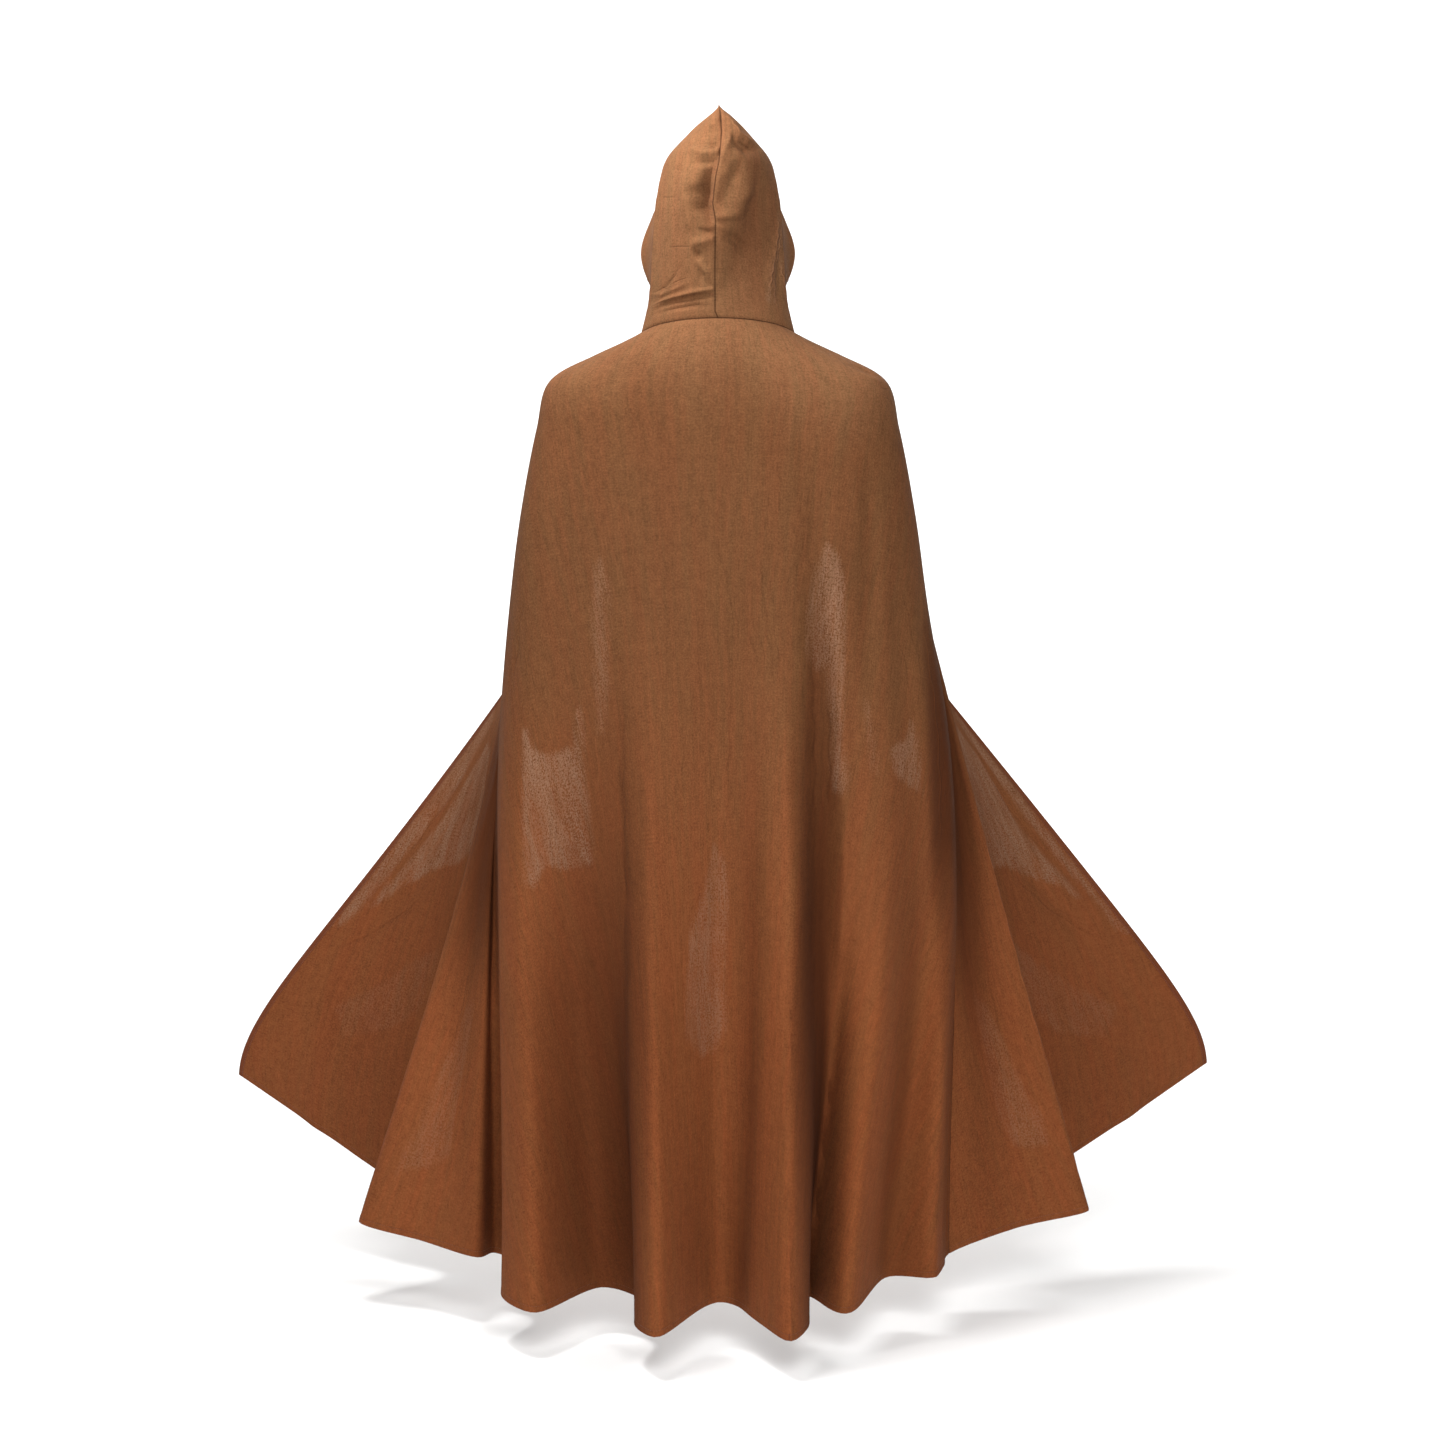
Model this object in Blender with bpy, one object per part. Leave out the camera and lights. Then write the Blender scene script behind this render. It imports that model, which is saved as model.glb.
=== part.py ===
"""Hooded cloak, worn open: a circular-cut body in three panels, a pointed hood in two halves, and a neck button.

Metres, +Z up. The garment's front faces -Y and the wearer's left is +X. The origin is the middle of the
neck opening, at shoulder height, where the wearer holds the cloak up.
"""

import math
from collections import namedtuple

import bmesh
import bpy
import numpy as np

# Driving dimensions
CLOTH = 0.002
CLOTH_LENGTH = 1.43
SEAM_GAP = 0.0003
FACET = 0.042
BODY_ROWS = 20
HOOD_ACROSS = 13
HOOD_ROWS = 18
FOLD_GROWTH = 1.5
HEM_SAMPLES = 2000
FORM_SAMPLES = 240
SMOOTH_SHARE = 0.045
NECK_EDGE_SHARE = 0.5
CLOTH_COLOUR = (0.36, 0.145, 0.058, 1.0)
BUTTON_COLOUR = (0.10, 0.045, 0.022, 1.0)

# Sections of the cloak's body from the neck down to the elbows. Each is one half, from the front edge round
# the side to the middle of the back. Square is the power of its rounded corners: 2 is an ellipse. Tilt is the
# power by which its height changes towards the front and back: 1 keeps the section in one plane. Right is how
# much wider the right half is than the left.
Section = namedtuple(
    "Section", "edge_x edge_y edge_z side_x side_y side_z back_y back_z square tilt right", defaults=(2.0, 2.0, 1.0)
)
BODY_SECTIONS = {
    "neck": Section(0.003, -0.088, -0.035, 0.114, 0.000, -0.013, 0.092, 0.010, 2.0, 1.0),
    "yoke": Section(0.024, -0.108, -0.075, 0.182, 0.000, -0.040, 0.112, -0.045, 2.1),
    "shoulder": Section(0.062, -0.124, -0.130, 0.249, -0.002, -0.079, 0.124, -0.105, 2.4),
    "upper_arm": Section(0.100, -0.136, -0.195, 0.267, -0.004, -0.146, 0.131, -0.175, 2.5),
    "chest": Section(0.165, -0.155, -0.295, 0.291, -0.008, -0.270, 0.142, -0.290, 2.6),
    "waist": Section(0.250, -0.190, -0.430, 0.309, -0.012, -0.410, 0.155, -0.430, 2.4, 2.0, 1.01),
    "elbow": Section(0.337, -0.225, -0.559, 0.322, -0.015, -0.550, 0.170, -0.560, 2.2, 2.0, 1.05),
}

# The hem, from the left front corner round the back to the right front corner: where each fold's ridge,
# edge or valley ends, the share of the cloth's length at which that fold begins, and how far the cloth above
# it bows out to the side.
Fold = namedtuple("Fold", "x y z start bow")
HEM = {
    "left_corner": Fold(0.779, -0.420, -1.184, 0.36, 0.056),
    "left_wing": Fold(0.640, -0.325, -1.254, 0.36, 0.030),
    "left_wing_root": Fold(0.520, -0.240, -1.314, 0.36, 0.008),
    "left_inner_valley": Fold(0.440, -0.160, -1.335, 0.36, 0.0),
    "left_ridge": Fold(0.541, -0.020, -1.335, 0.36, 0.0),
    "left_face": Fold(0.440, 0.040, -1.351, 0.36, 0.0),
    "left_fold_edge": Fold(0.354, 0.110, -1.359, 0.46, 0.0),
    "left_recess": Fold(0.330, 0.045, -1.368, 0.50, 0.0),
    "left_recess_end": Fold(0.288, 0.090, -1.377, 0.46, 0.0),
    "first_edge": Fold(0.310, 0.225, -1.388, 0.34, 0.0),
    "first_ridge": Fold(0.259, 0.295, -1.393, 0.34, 0.0),
    "first_valley": Fold(0.165, 0.165, -1.390, 0.34, 0.0),
    "second_foot": Fold(0.108, 0.215, -1.397, 0.34, 0.0),
    "second_edge": Fold(0.116, 0.345, -1.400, 0.32, 0.0),
    "second_ridge": Fold(0.084, 0.410, -1.398, 0.32, 0.0),
    "middle_valley": Fold(-0.003, 0.243, -1.393, 0.30, 0.0),
    "third_ridge": Fold(-0.098, 0.410, -1.403, 0.26, 0.0),
    "third_edge": Fold(-0.126, 0.345, -1.402, 0.26, 0.0),
    "third_foot": Fold(-0.127, 0.200, -1.395, 0.26, 0.0),
    "fourth_ridge": Fold(-0.182, 0.290, -1.396, 0.30, 0.0),
    "fourth_valley": Fold(-0.252, 0.115, -1.388, 0.32, 0.0),
    "fifth_ridge": Fold(-0.312, 0.125, -1.384, 0.24, 0.0),
    "fifth_edge": Fold(-0.335, 0.055, -1.386, 0.20, 0.0),
    "right_recess": Fold(-0.347, 0.000, -1.380, 0.20, 0.0),
    "right_face": Fold(-0.450, -0.030, -1.348, 0.26, 0.0),
    "right_ridge": Fold(-0.563, -0.060, -1.327, 0.24, 0.0),
    "right_inner_valley": Fold(-0.460, -0.180, -1.330, 0.34, 0.0),
    "right_wing_root": Fold(-0.535, -0.255, -1.298, 0.36, 0.008),
    "right_wing": Fold(-0.655, -0.330, -1.238, 0.36, 0.030),
    "right_corner": Fold(-0.795, -0.420, -1.165, 0.36, 0.056),
}
LEFT_SIDE_SEAM = "left_recess_end"
RIGHT_SIDE_SEAM = "right_recess"
MIDDLE_OF_BACK = "middle_valley"

# Sections of one half of the hood from the neck seam up to the crown seam, each from the front edge round
# the side to the back seam. The first is the body's neck section.
HOOD_SECTIONS = {
    "neck": BODY_SECTIONS["neck"],
    "nape": Section(0.034, -0.106, -0.004, 0.104, 0.004, 0.030, 0.095, 0.042),
    "jaw": Section(0.086, -0.118, 0.046, 0.101, 0.008, 0.064, 0.101, 0.075),
    "cheek": Section(0.116, -0.124, 0.112, 0.097, 0.012, 0.115, 0.112, 0.125),
    "temple": Section(0.101, -0.130, 0.170, 0.093, 0.014, 0.165, 0.118, 0.175),
    "brow": Section(0.078, -0.134, 0.216, 0.087, 0.014, 0.205, 0.116, 0.215),
    "head_top": Section(0.048, -0.134, 0.246, 0.074, 0.018, 0.246, 0.104, 0.252),
    "peak_foot": Section(0.022, -0.132, 0.257, 0.050, 0.026, 0.273, 0.084, 0.284),
    "peak": Section(0.010, -0.131, 0.261, 0.024, 0.028, 0.297, 0.071, 0.306),
    "crown_seam": Section(0.000, -0.130, 0.264, 0.000, 0.020, 0.306, 0.062, 0.320, 2.0, 1.0),
}

# The neck button and its loop
BUTTON_RADIUS = 0.008
BUTTON_THICKNESS = 0.0032
BUTTON_BEVEL = 0.0007
BUTTON_SIDES = 16
SHANK_RADIUS = 0.0025
SHANK_HEIGHT = 0.0032
BUTTON_SHARE = 0.984
BUTTON_DOWN = 0.009
LOOP_RADIUS = 0.0009


def through(points, knots, at):
    """Points of a smooth curve through the given points at the given knots. Works on stacked arrays."""
    points, knots, at = np.asarray(points, float), np.asarray(knots, float), np.asarray(at, float)
    spans = np.diff(knots).reshape((-1,) + (1,) * (points.ndim - 1))
    slopes = np.diff(points, axis=0) / spans
    inner = (slopes[:-1] * spans[1:] + slopes[1:] * spans[:-1]) / (spans[1:] + spans[:-1])
    tangents = np.concatenate([slopes[:1], inner, slopes[-1:]])
    i = np.clip(np.searchsorted(knots, at, side="right") - 1, 0, len(knots) - 2)
    span = spans[i]
    t = ((at - knots[i]) / np.diff(knots)[i]).reshape((-1,) + (1,) * (points.ndim - 1))
    return (
        (1 + 2 * t) * (1 - t) ** 2 * points[i]
        + t * (1 - t) ** 2 * span * tangents[i]
        + t**2 * (3 - 2 * t) * points[i + 1]
        + t**2 * (t - 1) * span * tangents[i + 1]
    )


def lengths_along(points):
    """The distance of each point from the first one, along the line."""
    steps = np.linalg.norm(np.diff(points, axis=0), axis=1)
    return np.concatenate([[0.0], np.cumsum(steps)])


def half_section(section):
    """One half of a section, from its front edge to the middle of the back, as closely spaced points."""
    turn = np.linspace(0, math.pi / 2, FORM_SAMPLES)
    power = 2 / section.square
    away, out = np.cos(turn) ** power, np.sin(turn) ** power
    tilt = out**section.tilt
    front = np.stack([
        section.edge_x + (section.side_x - section.edge_x) * away,
        section.side_y + (section.edge_y - section.side_y) * out,
        section.side_z + (section.edge_z - section.side_z) * tilt,
    ], axis=1)
    back = np.stack([
        section.side_x * away,
        section.side_y + (section.back_y - section.side_y) * out,
        section.side_z + (section.back_z - section.side_z) * tilt,
    ], axis=1)
    return np.concatenate([front[::-1], back[1:]])


def evenly(line, shares):
    """Points of a line at these shares of its length."""
    lengths = lengths_along(line)
    return np.stack([np.interp(shares * lengths[-1], lengths, line[:, k]) for k in range(3)], axis=1)


class HemLine:
    """The folded hem and the plain sweep it is folded about, by share of the hem's length."""

    def __init__(self, folds):
        rows = np.array([tuple(fold) for fold in folds.values()])
        knots = np.concatenate([[0.0], np.cumsum(np.sqrt(np.diff(lengths_along(rows[:, :3]))))])
        line = through(rows[:, :3], knots, np.linspace(0, knots[-1], HEM_SAMPLES))
        lengths = lengths_along(line)
        self.length = lengths[-1]
        self.shares = np.linspace(0, 1, HEM_SAMPLES)
        self.folded = evenly(line, self.shares)
        at_knots = np.interp(knots, np.linspace(0, knots[-1], HEM_SAMPLES), lengths / lengths[-1])
        self.share_of = dict(zip(folds, at_knots))
        self.landmarks = (0.0, *(self.share_of[name] for name in (LEFT_SIDE_SEAM, MIDDLE_OF_BACK, RIGHT_SIDE_SEAM)), 1.0)
        self.starts = np.interp(self.shares, at_knots, rows[:, 3])
        self.bows = np.interp(self.shares, at_knots, rows[:, 4])
        self.plain = self.smoothed(self.folded)

    def smoothed(self, line):
        """The line with its folds averaged out, keeping its two ends."""
        reach = int(3 * SMOOTH_SHARE * HEM_SAMPLES)
        weights = np.exp(-0.5 * (np.arange(-reach, reach + 1) / (SMOOTH_SHARE * HEM_SAMPLES)) ** 2)
        before = 2 * line[0] - line[reach:0:-1]
        after = 2 * line[-1] - line[-2:-reach - 2:-1]
        padded = np.concatenate([before, line, after])
        return np.stack([np.convolve(padded[:, k], weights / weights.sum(), "valid") for k in range(3)], axis=1)

    def at(self, values, across):
        """A value, or a point, of the hem at these shares of its length."""
        if values.ndim == 1:
            return np.interp(across, self.shares, values)
        return np.stack([np.interp(across, self.shares, values[:, k]) for k in range(3)], axis=1)


hem = HemLine(HEM)


def section_line(section, across):
    """Points of a whole section of the body. Its side seams meet its sides, and its middle the hem's middle."""
    quarter = np.interp(across, hem.landmarks, range(5))
    half = half_section(section)
    lengths = lengths_along(half)
    stops = (0.0, lengths[FORM_SAMPLES - 1], lengths[-1])
    points = evenly(half, np.interp(2 - np.abs(quarter - 2), range(3), stops) / lengths[-1])
    points[:, 0] *= np.where(quarter > 2, -section.right, 1)
    return points


def body_form(across):
    """Points of the unfolded body: a row for each section and one for the plain hem."""
    lines = [section_line(section, across) for section in BODY_SECTIONS.values()]
    return np.stack(lines + [hem.at(hem.plain, across)])


def hood_form(across):
    """Points of the left half of the hood: a row for each section, from the front edge to the back seam."""
    return np.stack([evenly(half_section(section), across) for section in HOOD_SECTIONS.values()])


def shares_of(form):
    """The share of a form's whole length at which each of its rows lies."""
    steps = np.linalg.norm(np.diff(form(np.linspace(0, 1, FORM_SAMPLES)), axis=0), axis=2).mean(axis=1)
    return np.concatenate([[0.0], np.cumsum(steps)]) / steps.sum()


body_shares = shares_of(body_form)
hood_shares = shares_of(hood_form)


def body_surface(across, down):
    """Points of the body's outer face: a row for each share of the cloth's length, a column across."""
    plain = through(body_form(across), body_shares, down)
    folds = hem.at(hem.folded, across) - hem.at(hem.plain, across)
    starts = hem.at(hem.starts, across)[None, :]
    drop = np.clip((down[:, None] - starts) / (1 - starts), 0, 1)
    bow = hem.at(hem.bows, across)[None, :] * drop**1.3 * (1 - drop**8)
    outward = np.stack([np.sign(0.5 - across), 0 * across, 0 * across], axis=1)
    return plain + folds[None] * (drop**FOLD_GROWTH)[:, :, None] + outward[None] * bow[:, :, None]


def hood_surface(across, up):
    """Points of the left half of the hood's outer face: a row for each share of its height."""
    return through(hood_form(across), hood_shares, up)


def normals_of(surface, rows, columns):
    """Unit normals of a surface at its rows and columns. They point outwards where the rows run downwards."""
    nudge = 1e-3
    left, right = np.clip(columns - nudge, 0, 1), np.clip(columns + nudge, 0, 1)
    above, below = np.clip(rows - nudge, 0, 1), np.clip(rows + nudge, 0, 1)
    sideways = surface(right, rows) - surface(left, rows)
    lengthways = surface(columns, below) - surface(columns, above)
    normals = np.cross(lengthways, sideways)
    return normals / np.linalg.norm(normals, axis=2, keepdims=True)


def thickness_vectors(normals):
    """The step from the outer skin to the inner one. In the neck's row it lies in the plane of the neck."""
    steps = normals * CLOTH
    neck = BODY_SECTIONS["neck"]
    upright = np.array([0.0, (neck.edge_z - neck.back_z) / (neck.back_y - neck.edge_y), 1.0])
    upright /= np.linalg.norm(upright)
    level = normals[0] - (normals[0] @ upright)[:, None] * upright
    share = np.linalg.norm(level, axis=1, keepdims=True)
    steps[0] = level / share * CLOTH / np.maximum(share, NECK_EDGE_SHARE)
    return steps


def material(name, colour, roughness, metallic=0.0):
    """A plain finish for one kind of piece."""
    made = bpy.data.materials.new(name)
    made.use_nodes = True
    shader = made.node_tree.nodes["Principled BSDF"]
    shader.inputs["Base Color"].default_value = colour
    shader.inputs["Roughness"].default_value = roughness
    shader.inputs["Metallic"].default_value = metallic
    return made


def add_object(name, mesh, finish):
    """A named object that holds this mesh and finish."""
    mesh.materials.append(finish)
    made = bpy.data.objects.new(name, mesh)
    bpy.context.scene.collection.objects.link(made)
    return made


def wall(name, outer, inner, finish):
    """A closed cloth wall between an outer and an inner grid of points, in triangles that meet its corners."""
    shape = bmesh.new()
    last_row, last_column = outer.shape[0] - 1, outer.shape[1] - 1
    face, lining = ([[shape.verts.new(point) for point in row] for row in grid] for grid in (outer, inner))

    def four_sided(a, b, c, d):
        shape.faces.new((a, b, c))
        shape.faces.new((a, c, d))

    falling = np.linalg.norm(outer[1:, 1:] - outer[:-1, :-1], axis=2)
    rising = np.linalg.norm(outer[:-1, 1:] - outer[1:, :-1], axis=2)
    turns = (falling > rising).astype(int)
    turns[[0, -1], [0, -1]] = 0
    turns[[0, -1], [-1, 0]] = 1
    for r in range(last_row):
        for c in range(last_column):
            turn = turns[r, c]
            places = ((r, c), (r, c + 1), (r + 1, c + 1), (r + 1, c))
            places = places[turn:] + places[:turn]
            four_sided(*(face[row][column] for row, column in places))
            places = (places[0], places[3], places[2], places[1])
            four_sided(*(lining[row][column] for row, column in places))
        below = r + 1
        four_sided(face[r][0], face[below][0], lining[below][0], lining[r][0])
        four_sided(face[r][-1], lining[r][-1], lining[below][-1], face[below][-1])
    for c in range(last_column):
        four_sided(face[0][c + 1], face[0][c], lining[0][c], lining[0][c + 1])
        four_sided(face[-1][c], face[-1][c + 1], lining[-1][c + 1], lining[-1][c])
    if shape.calc_volume(signed=True) < 0:
        bmesh.ops.reverse_faces(shape, faces=shape.faces[:])
    mesh = bpy.data.meshes.new(name)
    shape.to_mesh(mesh)
    shape.free()
    mesh.shade_smooth()
    mesh.set_sharp_from_angle(angle=math.radians(50))
    return add_object(name, mesh, finish)


def columns_between(first, last):
    """Shares across the body from one fold to another, with facets of much the same width at the hem."""
    names = list(HEM)
    kept = names[names.index(first) : names.index(last) + 1]
    stops = [hem.share_of[name] for name in kept]
    counts = [max(2, round((b - a) * hem.length / FACET)) for a, b in zip(stops, stops[1:])]
    spans = [np.linspace(a, b, count, endpoint=False) for a, b, count in zip(stops, stops[1:], counts)]
    return np.concatenate(spans + [[stops[-1]]])


def body_panel(name, first, last, finish):
    """One panel of the body between two folds, parted from its neighbours by the seam gap."""
    across = columns_between(first, last)
    down = np.linspace(0, 1, BODY_ROWS) ** 1.15
    outer = body_surface(across, down)
    normals = normals_of(body_surface, down, across)
    for column, beside in ((0, 1), (-1, -2)):
        if across[column] in (0.0, 1.0):
            continue
        inward = outer[:, beside] - outer[:, column]
        inward -= normals[:, column] * np.sum(inward * normals[:, column], axis=1, keepdims=True)
        outer[:, column] += inward / np.linalg.norm(inward, axis=1, keepdims=True) * SEAM_GAP / 2
    return wall(name, outer, outer - thickness_vectors(normals), finish)


def hood_half(name, side, finish):
    """The left half of the hood (side 1) or its mirror (side -1), just clear of the neck and centre seams."""
    across = np.linspace(0, 1, HOOD_ACROSS)
    up = np.linspace(0, 1, HOOD_ROWS)
    outer = hood_surface(across, up)
    normals = -normals_of(hood_surface, up, across)
    normals[:, -1, 0] = 0
    normals[-1, :, 0] = 0
    normals[-1, -1] = 0
    lengths = np.linalg.norm(normals, axis=2, keepdims=True)
    normals /= np.maximum(lengths, 1e-9)
    peak = normals[-1, -2] + normals[-2, -1]
    normals[-1, -1] = peak / np.linalg.norm(peak)
    inner = outer - thickness_vectors(normals)
    for skin in (outer, inner):
        skin[:, :, 0] = np.maximum(skin[:, :, 0], SEAM_GAP / 2)
        skin[0, :, 2] += SEAM_GAP
        skin[:, :, 0] *= side
    return wall(name, outer, inner, finish)


def spot(across, down, lift=0.0):
    """The point at this height off the body's outer face."""
    columns, rows = np.array([across]), np.array([down])
    return (body_surface(columns, rows) + normals_of(body_surface, rows, columns) * lift)[0, 0]


def unit(vector):
    """This vector at length 1."""
    return vector / np.linalg.norm(vector)


def neck_closure(button_finish, loop_finish):
    """A shank button on the right front's neck corner, and the left front's cord loop round its shank."""
    seat = spot(BUTTON_SHARE, BUTTON_DOWN)
    out = unit(spot(BUTTON_SHARE, BUTTON_DOWN, CLOTH) - seat)
    fall = unit(spot(BUTTON_SHARE, BUTTON_DOWN + 0.01) - seat)
    to_loop = np.cross(fall, out)

    underside = SEAM_GAP + SHANK_HEIGHT
    top = underside + BUTTON_THICKNESS
    profile = (
        (SHANK_RADIUS, SEAM_GAP),
        (SHANK_RADIUS, underside),
        (BUTTON_RADIUS, underside + BUTTON_BEVEL),
        (BUTTON_RADIUS, top - BUTTON_BEVEL),
        (BUTTON_RADIUS - 2 * BUTTON_BEVEL, top),
    )
    shape = bmesh.new()
    rings = []
    for radius, height in profile:
        turns = [2 * math.pi * k / BUTTON_SIDES for k in range(BUTTON_SIDES)]
        around = [(to_loop * math.cos(turn) + fall * math.sin(turn)) * radius for turn in turns]
        rings.append([shape.verts.new(seat + out * height + step) for step in around])
    for low, high in zip(rings, rings[1:]):
        for k in range(BUTTON_SIDES):
            beside = (k + 1) % BUTTON_SIDES
            shape.faces.new((low[k], low[beside], high[beside], high[k]))
    shape.faces.new(rings[0])
    shape.faces.new(rings[-1])
    bmesh.ops.recalc_face_normals(shape, faces=shape.faces[:])
    mesh = bpy.data.meshes.new("neck_button")
    shape.to_mesh(mesh)
    shape.free()
    add_object("neck_button", mesh, button_finish)

    lift = SEAM_GAP + SHANK_HEIGHT / 2
    bend_radius = SHANK_RADIUS + SEAM_GAP + LOOP_RADIUS
    tails = []
    for down in (BUTTON_DOWN - bend_radius / CLOTH_LENGTH, BUTTON_DOWN + bend_radius / CLOTH_LENGTH):
        over_edge = spot(1.0, down, lift)
        root = spot(0.0, down, -CLOTH / 2)
        tails.append([root + unit(over_edge - root) * (LOOP_RADIUS + SEAM_GAP), over_edge])
    turns = np.linspace(-math.pi / 2, math.pi / 2, 9)
    bend = [seat + out * lift + (fall * math.sin(turn) - to_loop * math.cos(turn)) * bend_radius for turn in turns]
    route = [*tails[0], *bend, *tails[1][::-1]]
    curve = bpy.data.curves.new("neck_loop", "CURVE")
    curve.dimensions = "3D"
    curve.bevel_depth = LOOP_RADIUS
    curve.bevel_resolution = 2
    curve.use_fill_caps = True
    spline = curve.splines.new("POLY")
    spline.points.add(len(route) - 1)
    for point, place in zip(spline.points, route):
        point.co = (*place, 1.0)
    add_object("neck_loop", curve, loop_finish)


for old in list(bpy.data.objects):
    bpy.data.objects.remove(old)
cloth = material("cloth", CLOTH_COLOUR, 0.85)
corozo = material("button", BUTTON_COLOUR, 0.35)
body_panel("back", LEFT_SIDE_SEAM, RIGHT_SIDE_SEAM, cloth)
body_panel("left_front", "left_corner", LEFT_SIDE_SEAM, cloth)
body_panel("right_front", RIGHT_SIDE_SEAM, "right_corner", cloth)
hood_half("hood_left", 1, cloth)
hood_half("hood_right", -1, cloth)
neck_closure(corozo, cloth)
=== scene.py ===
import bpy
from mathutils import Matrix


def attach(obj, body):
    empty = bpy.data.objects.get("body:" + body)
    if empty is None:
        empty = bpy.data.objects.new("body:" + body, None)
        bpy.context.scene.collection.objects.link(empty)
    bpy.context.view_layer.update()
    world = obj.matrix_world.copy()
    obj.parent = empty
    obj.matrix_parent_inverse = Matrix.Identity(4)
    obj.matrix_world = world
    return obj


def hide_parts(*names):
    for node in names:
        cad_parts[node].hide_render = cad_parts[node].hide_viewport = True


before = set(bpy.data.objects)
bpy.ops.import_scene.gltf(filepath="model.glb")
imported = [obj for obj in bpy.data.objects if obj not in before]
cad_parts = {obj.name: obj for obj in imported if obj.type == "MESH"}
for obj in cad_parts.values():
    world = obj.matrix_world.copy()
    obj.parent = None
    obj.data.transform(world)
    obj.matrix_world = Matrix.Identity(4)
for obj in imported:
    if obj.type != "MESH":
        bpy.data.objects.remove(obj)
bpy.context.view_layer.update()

import math
from collections import namedtuple

import bpy
import numpy as np

# BACK PANEL
# The back is one wide sector of thin plain-woven cloth in rust brown, cut with its straight grain down the
# middle. It is sewn to the hood at the neck and to the fronts at the sides, and it hangs from the shoulders
# in soft folds that deepen towards a narrow turned hem.
# The cloth's thickness and its length from the neck to the hem, in metres.
CLOTH, CLOTH_LENGTH = 0.0008, 1.43
# A main fold deepens with this power of the way down to the hem.
FOLD_GROWTH = 1.5
# Samples along the hem and along a section, and the share of the hem over which its folds are averaged out.
HEM_SAMPLES, FORM_SAMPLES = 2000, 240
SMOOTH_SHARE = 0.045

# Sections of the cloak from the neck down, each one half from the front edge round the side to the middle
# of the back. Square is how square it is, tilt how late its height changes, and right how much wider the
# right half is than the left.
Section = namedtuple(
    "Section", "edge_x edge_y edge_z side_x side_y side_z back_y back_z square tilt right",
    defaults=(2.0, 2.0, 1.0),
)
BODY_SECTIONS = {
    "neck": Section(0.003, -0.088, -0.035, 0.114, 0.000, -0.013, 0.092, 0.010, 2.0, 1.0),
    "yoke": Section(0.024, -0.108, -0.075, 0.182, 0.000, -0.040, 0.112, -0.045, 2.1),
    "shoulder": Section(0.062, -0.124, -0.130, 0.249, -0.002, -0.079, 0.124, -0.105, 2.4),
    "upper_arm": Section(0.100, -0.136, -0.195, 0.267, -0.004, -0.146, 0.131, -0.175, 2.5),
    "chest": Section(0.165, -0.155, -0.295, 0.291, -0.008, -0.270, 0.142, -0.290, 2.6),
    "waist": Section(0.250, -0.190, -0.430, 0.309, -0.012, -0.410, 0.155, -0.430, 2.4, 2.0, 1.01),
    "elbow": Section(0.337, -0.225, -0.559, 0.322, -0.015, -0.550, 0.170, -0.560, 2.2, 2.0, 1.05),
}

# The hem from the left front corner round the back to the right front corner, as on the solids. Start is
# the share down the cloth at which a fold sets in, and bow how far the cloth above the hem swells sideways.
Fold = namedtuple("Fold", "x y z start bow", defaults=(0.0,))
HEM = {
    "left_corner": Fold(0.779, -0.420, -1.184, 0.36, 0.056),
    "left_wing": Fold(0.640, -0.325, -1.254, 0.36, 0.030),
    "left_wing_root": Fold(0.520, -0.240, -1.314, 0.36, 0.008),
    "left_inner_valley": Fold(0.440, -0.160, -1.335, 0.36),
    "left_ridge": Fold(0.541, -0.020, -1.335, 0.36),
    "left_face": Fold(0.440, 0.040, -1.351, 0.36),
    "left_fold_edge": Fold(0.354, 0.110, -1.359, 0.46),
    "left_recess": Fold(0.330, 0.045, -1.368, 0.50),
    "left_recess_end": Fold(0.288, 0.090, -1.377, 0.46),
    "first_edge": Fold(0.310, 0.225, -1.388, 0.34),
    "first_ridge": Fold(0.259, 0.295, -1.393, 0.34),
    "first_valley": Fold(0.165, 0.165, -1.390, 0.34),
    "second_foot": Fold(0.108, 0.215, -1.397, 0.34),
    "second_edge": Fold(0.116, 0.345, -1.400, 0.32),
    "second_ridge": Fold(0.084, 0.410, -1.398, 0.32),
    "middle_valley": Fold(-0.003, 0.243, -1.393, 0.30),
    "third_ridge": Fold(-0.098, 0.410, -1.403, 0.26),
    "third_edge": Fold(-0.126, 0.345, -1.402, 0.26),
    "third_foot": Fold(-0.127, 0.200, -1.395, 0.26),
    "fourth_ridge": Fold(-0.182, 0.290, -1.396, 0.30),
    "fourth_valley": Fold(-0.252, 0.115, -1.388, 0.32),
    "fifth_ridge": Fold(-0.312, 0.125, -1.384, 0.24),
    "fifth_edge": Fold(-0.335, 0.055, -1.386, 0.20),
    "right_recess": Fold(-0.347, 0.000, -1.380, 0.20),
    "right_face": Fold(-0.450, -0.030, -1.348, 0.26),
    "right_ridge": Fold(-0.563, -0.060, -1.327, 0.24),
    "right_inner_valley": Fold(-0.460, -0.180, -1.330, 0.34),
    "right_wing_root": Fold(-0.535, -0.255, -1.298, 0.36, 0.008),
    "right_wing": Fold(-0.655, -0.330, -1.238, 0.36, 0.030),
    "right_corner": Fold(-0.795, -0.420, -1.165, 0.36, 0.056),
}
SIDE_SEAMS_AND_MIDDLE = ("left_recess_end", "middle_valley", "right_recess")


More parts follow.
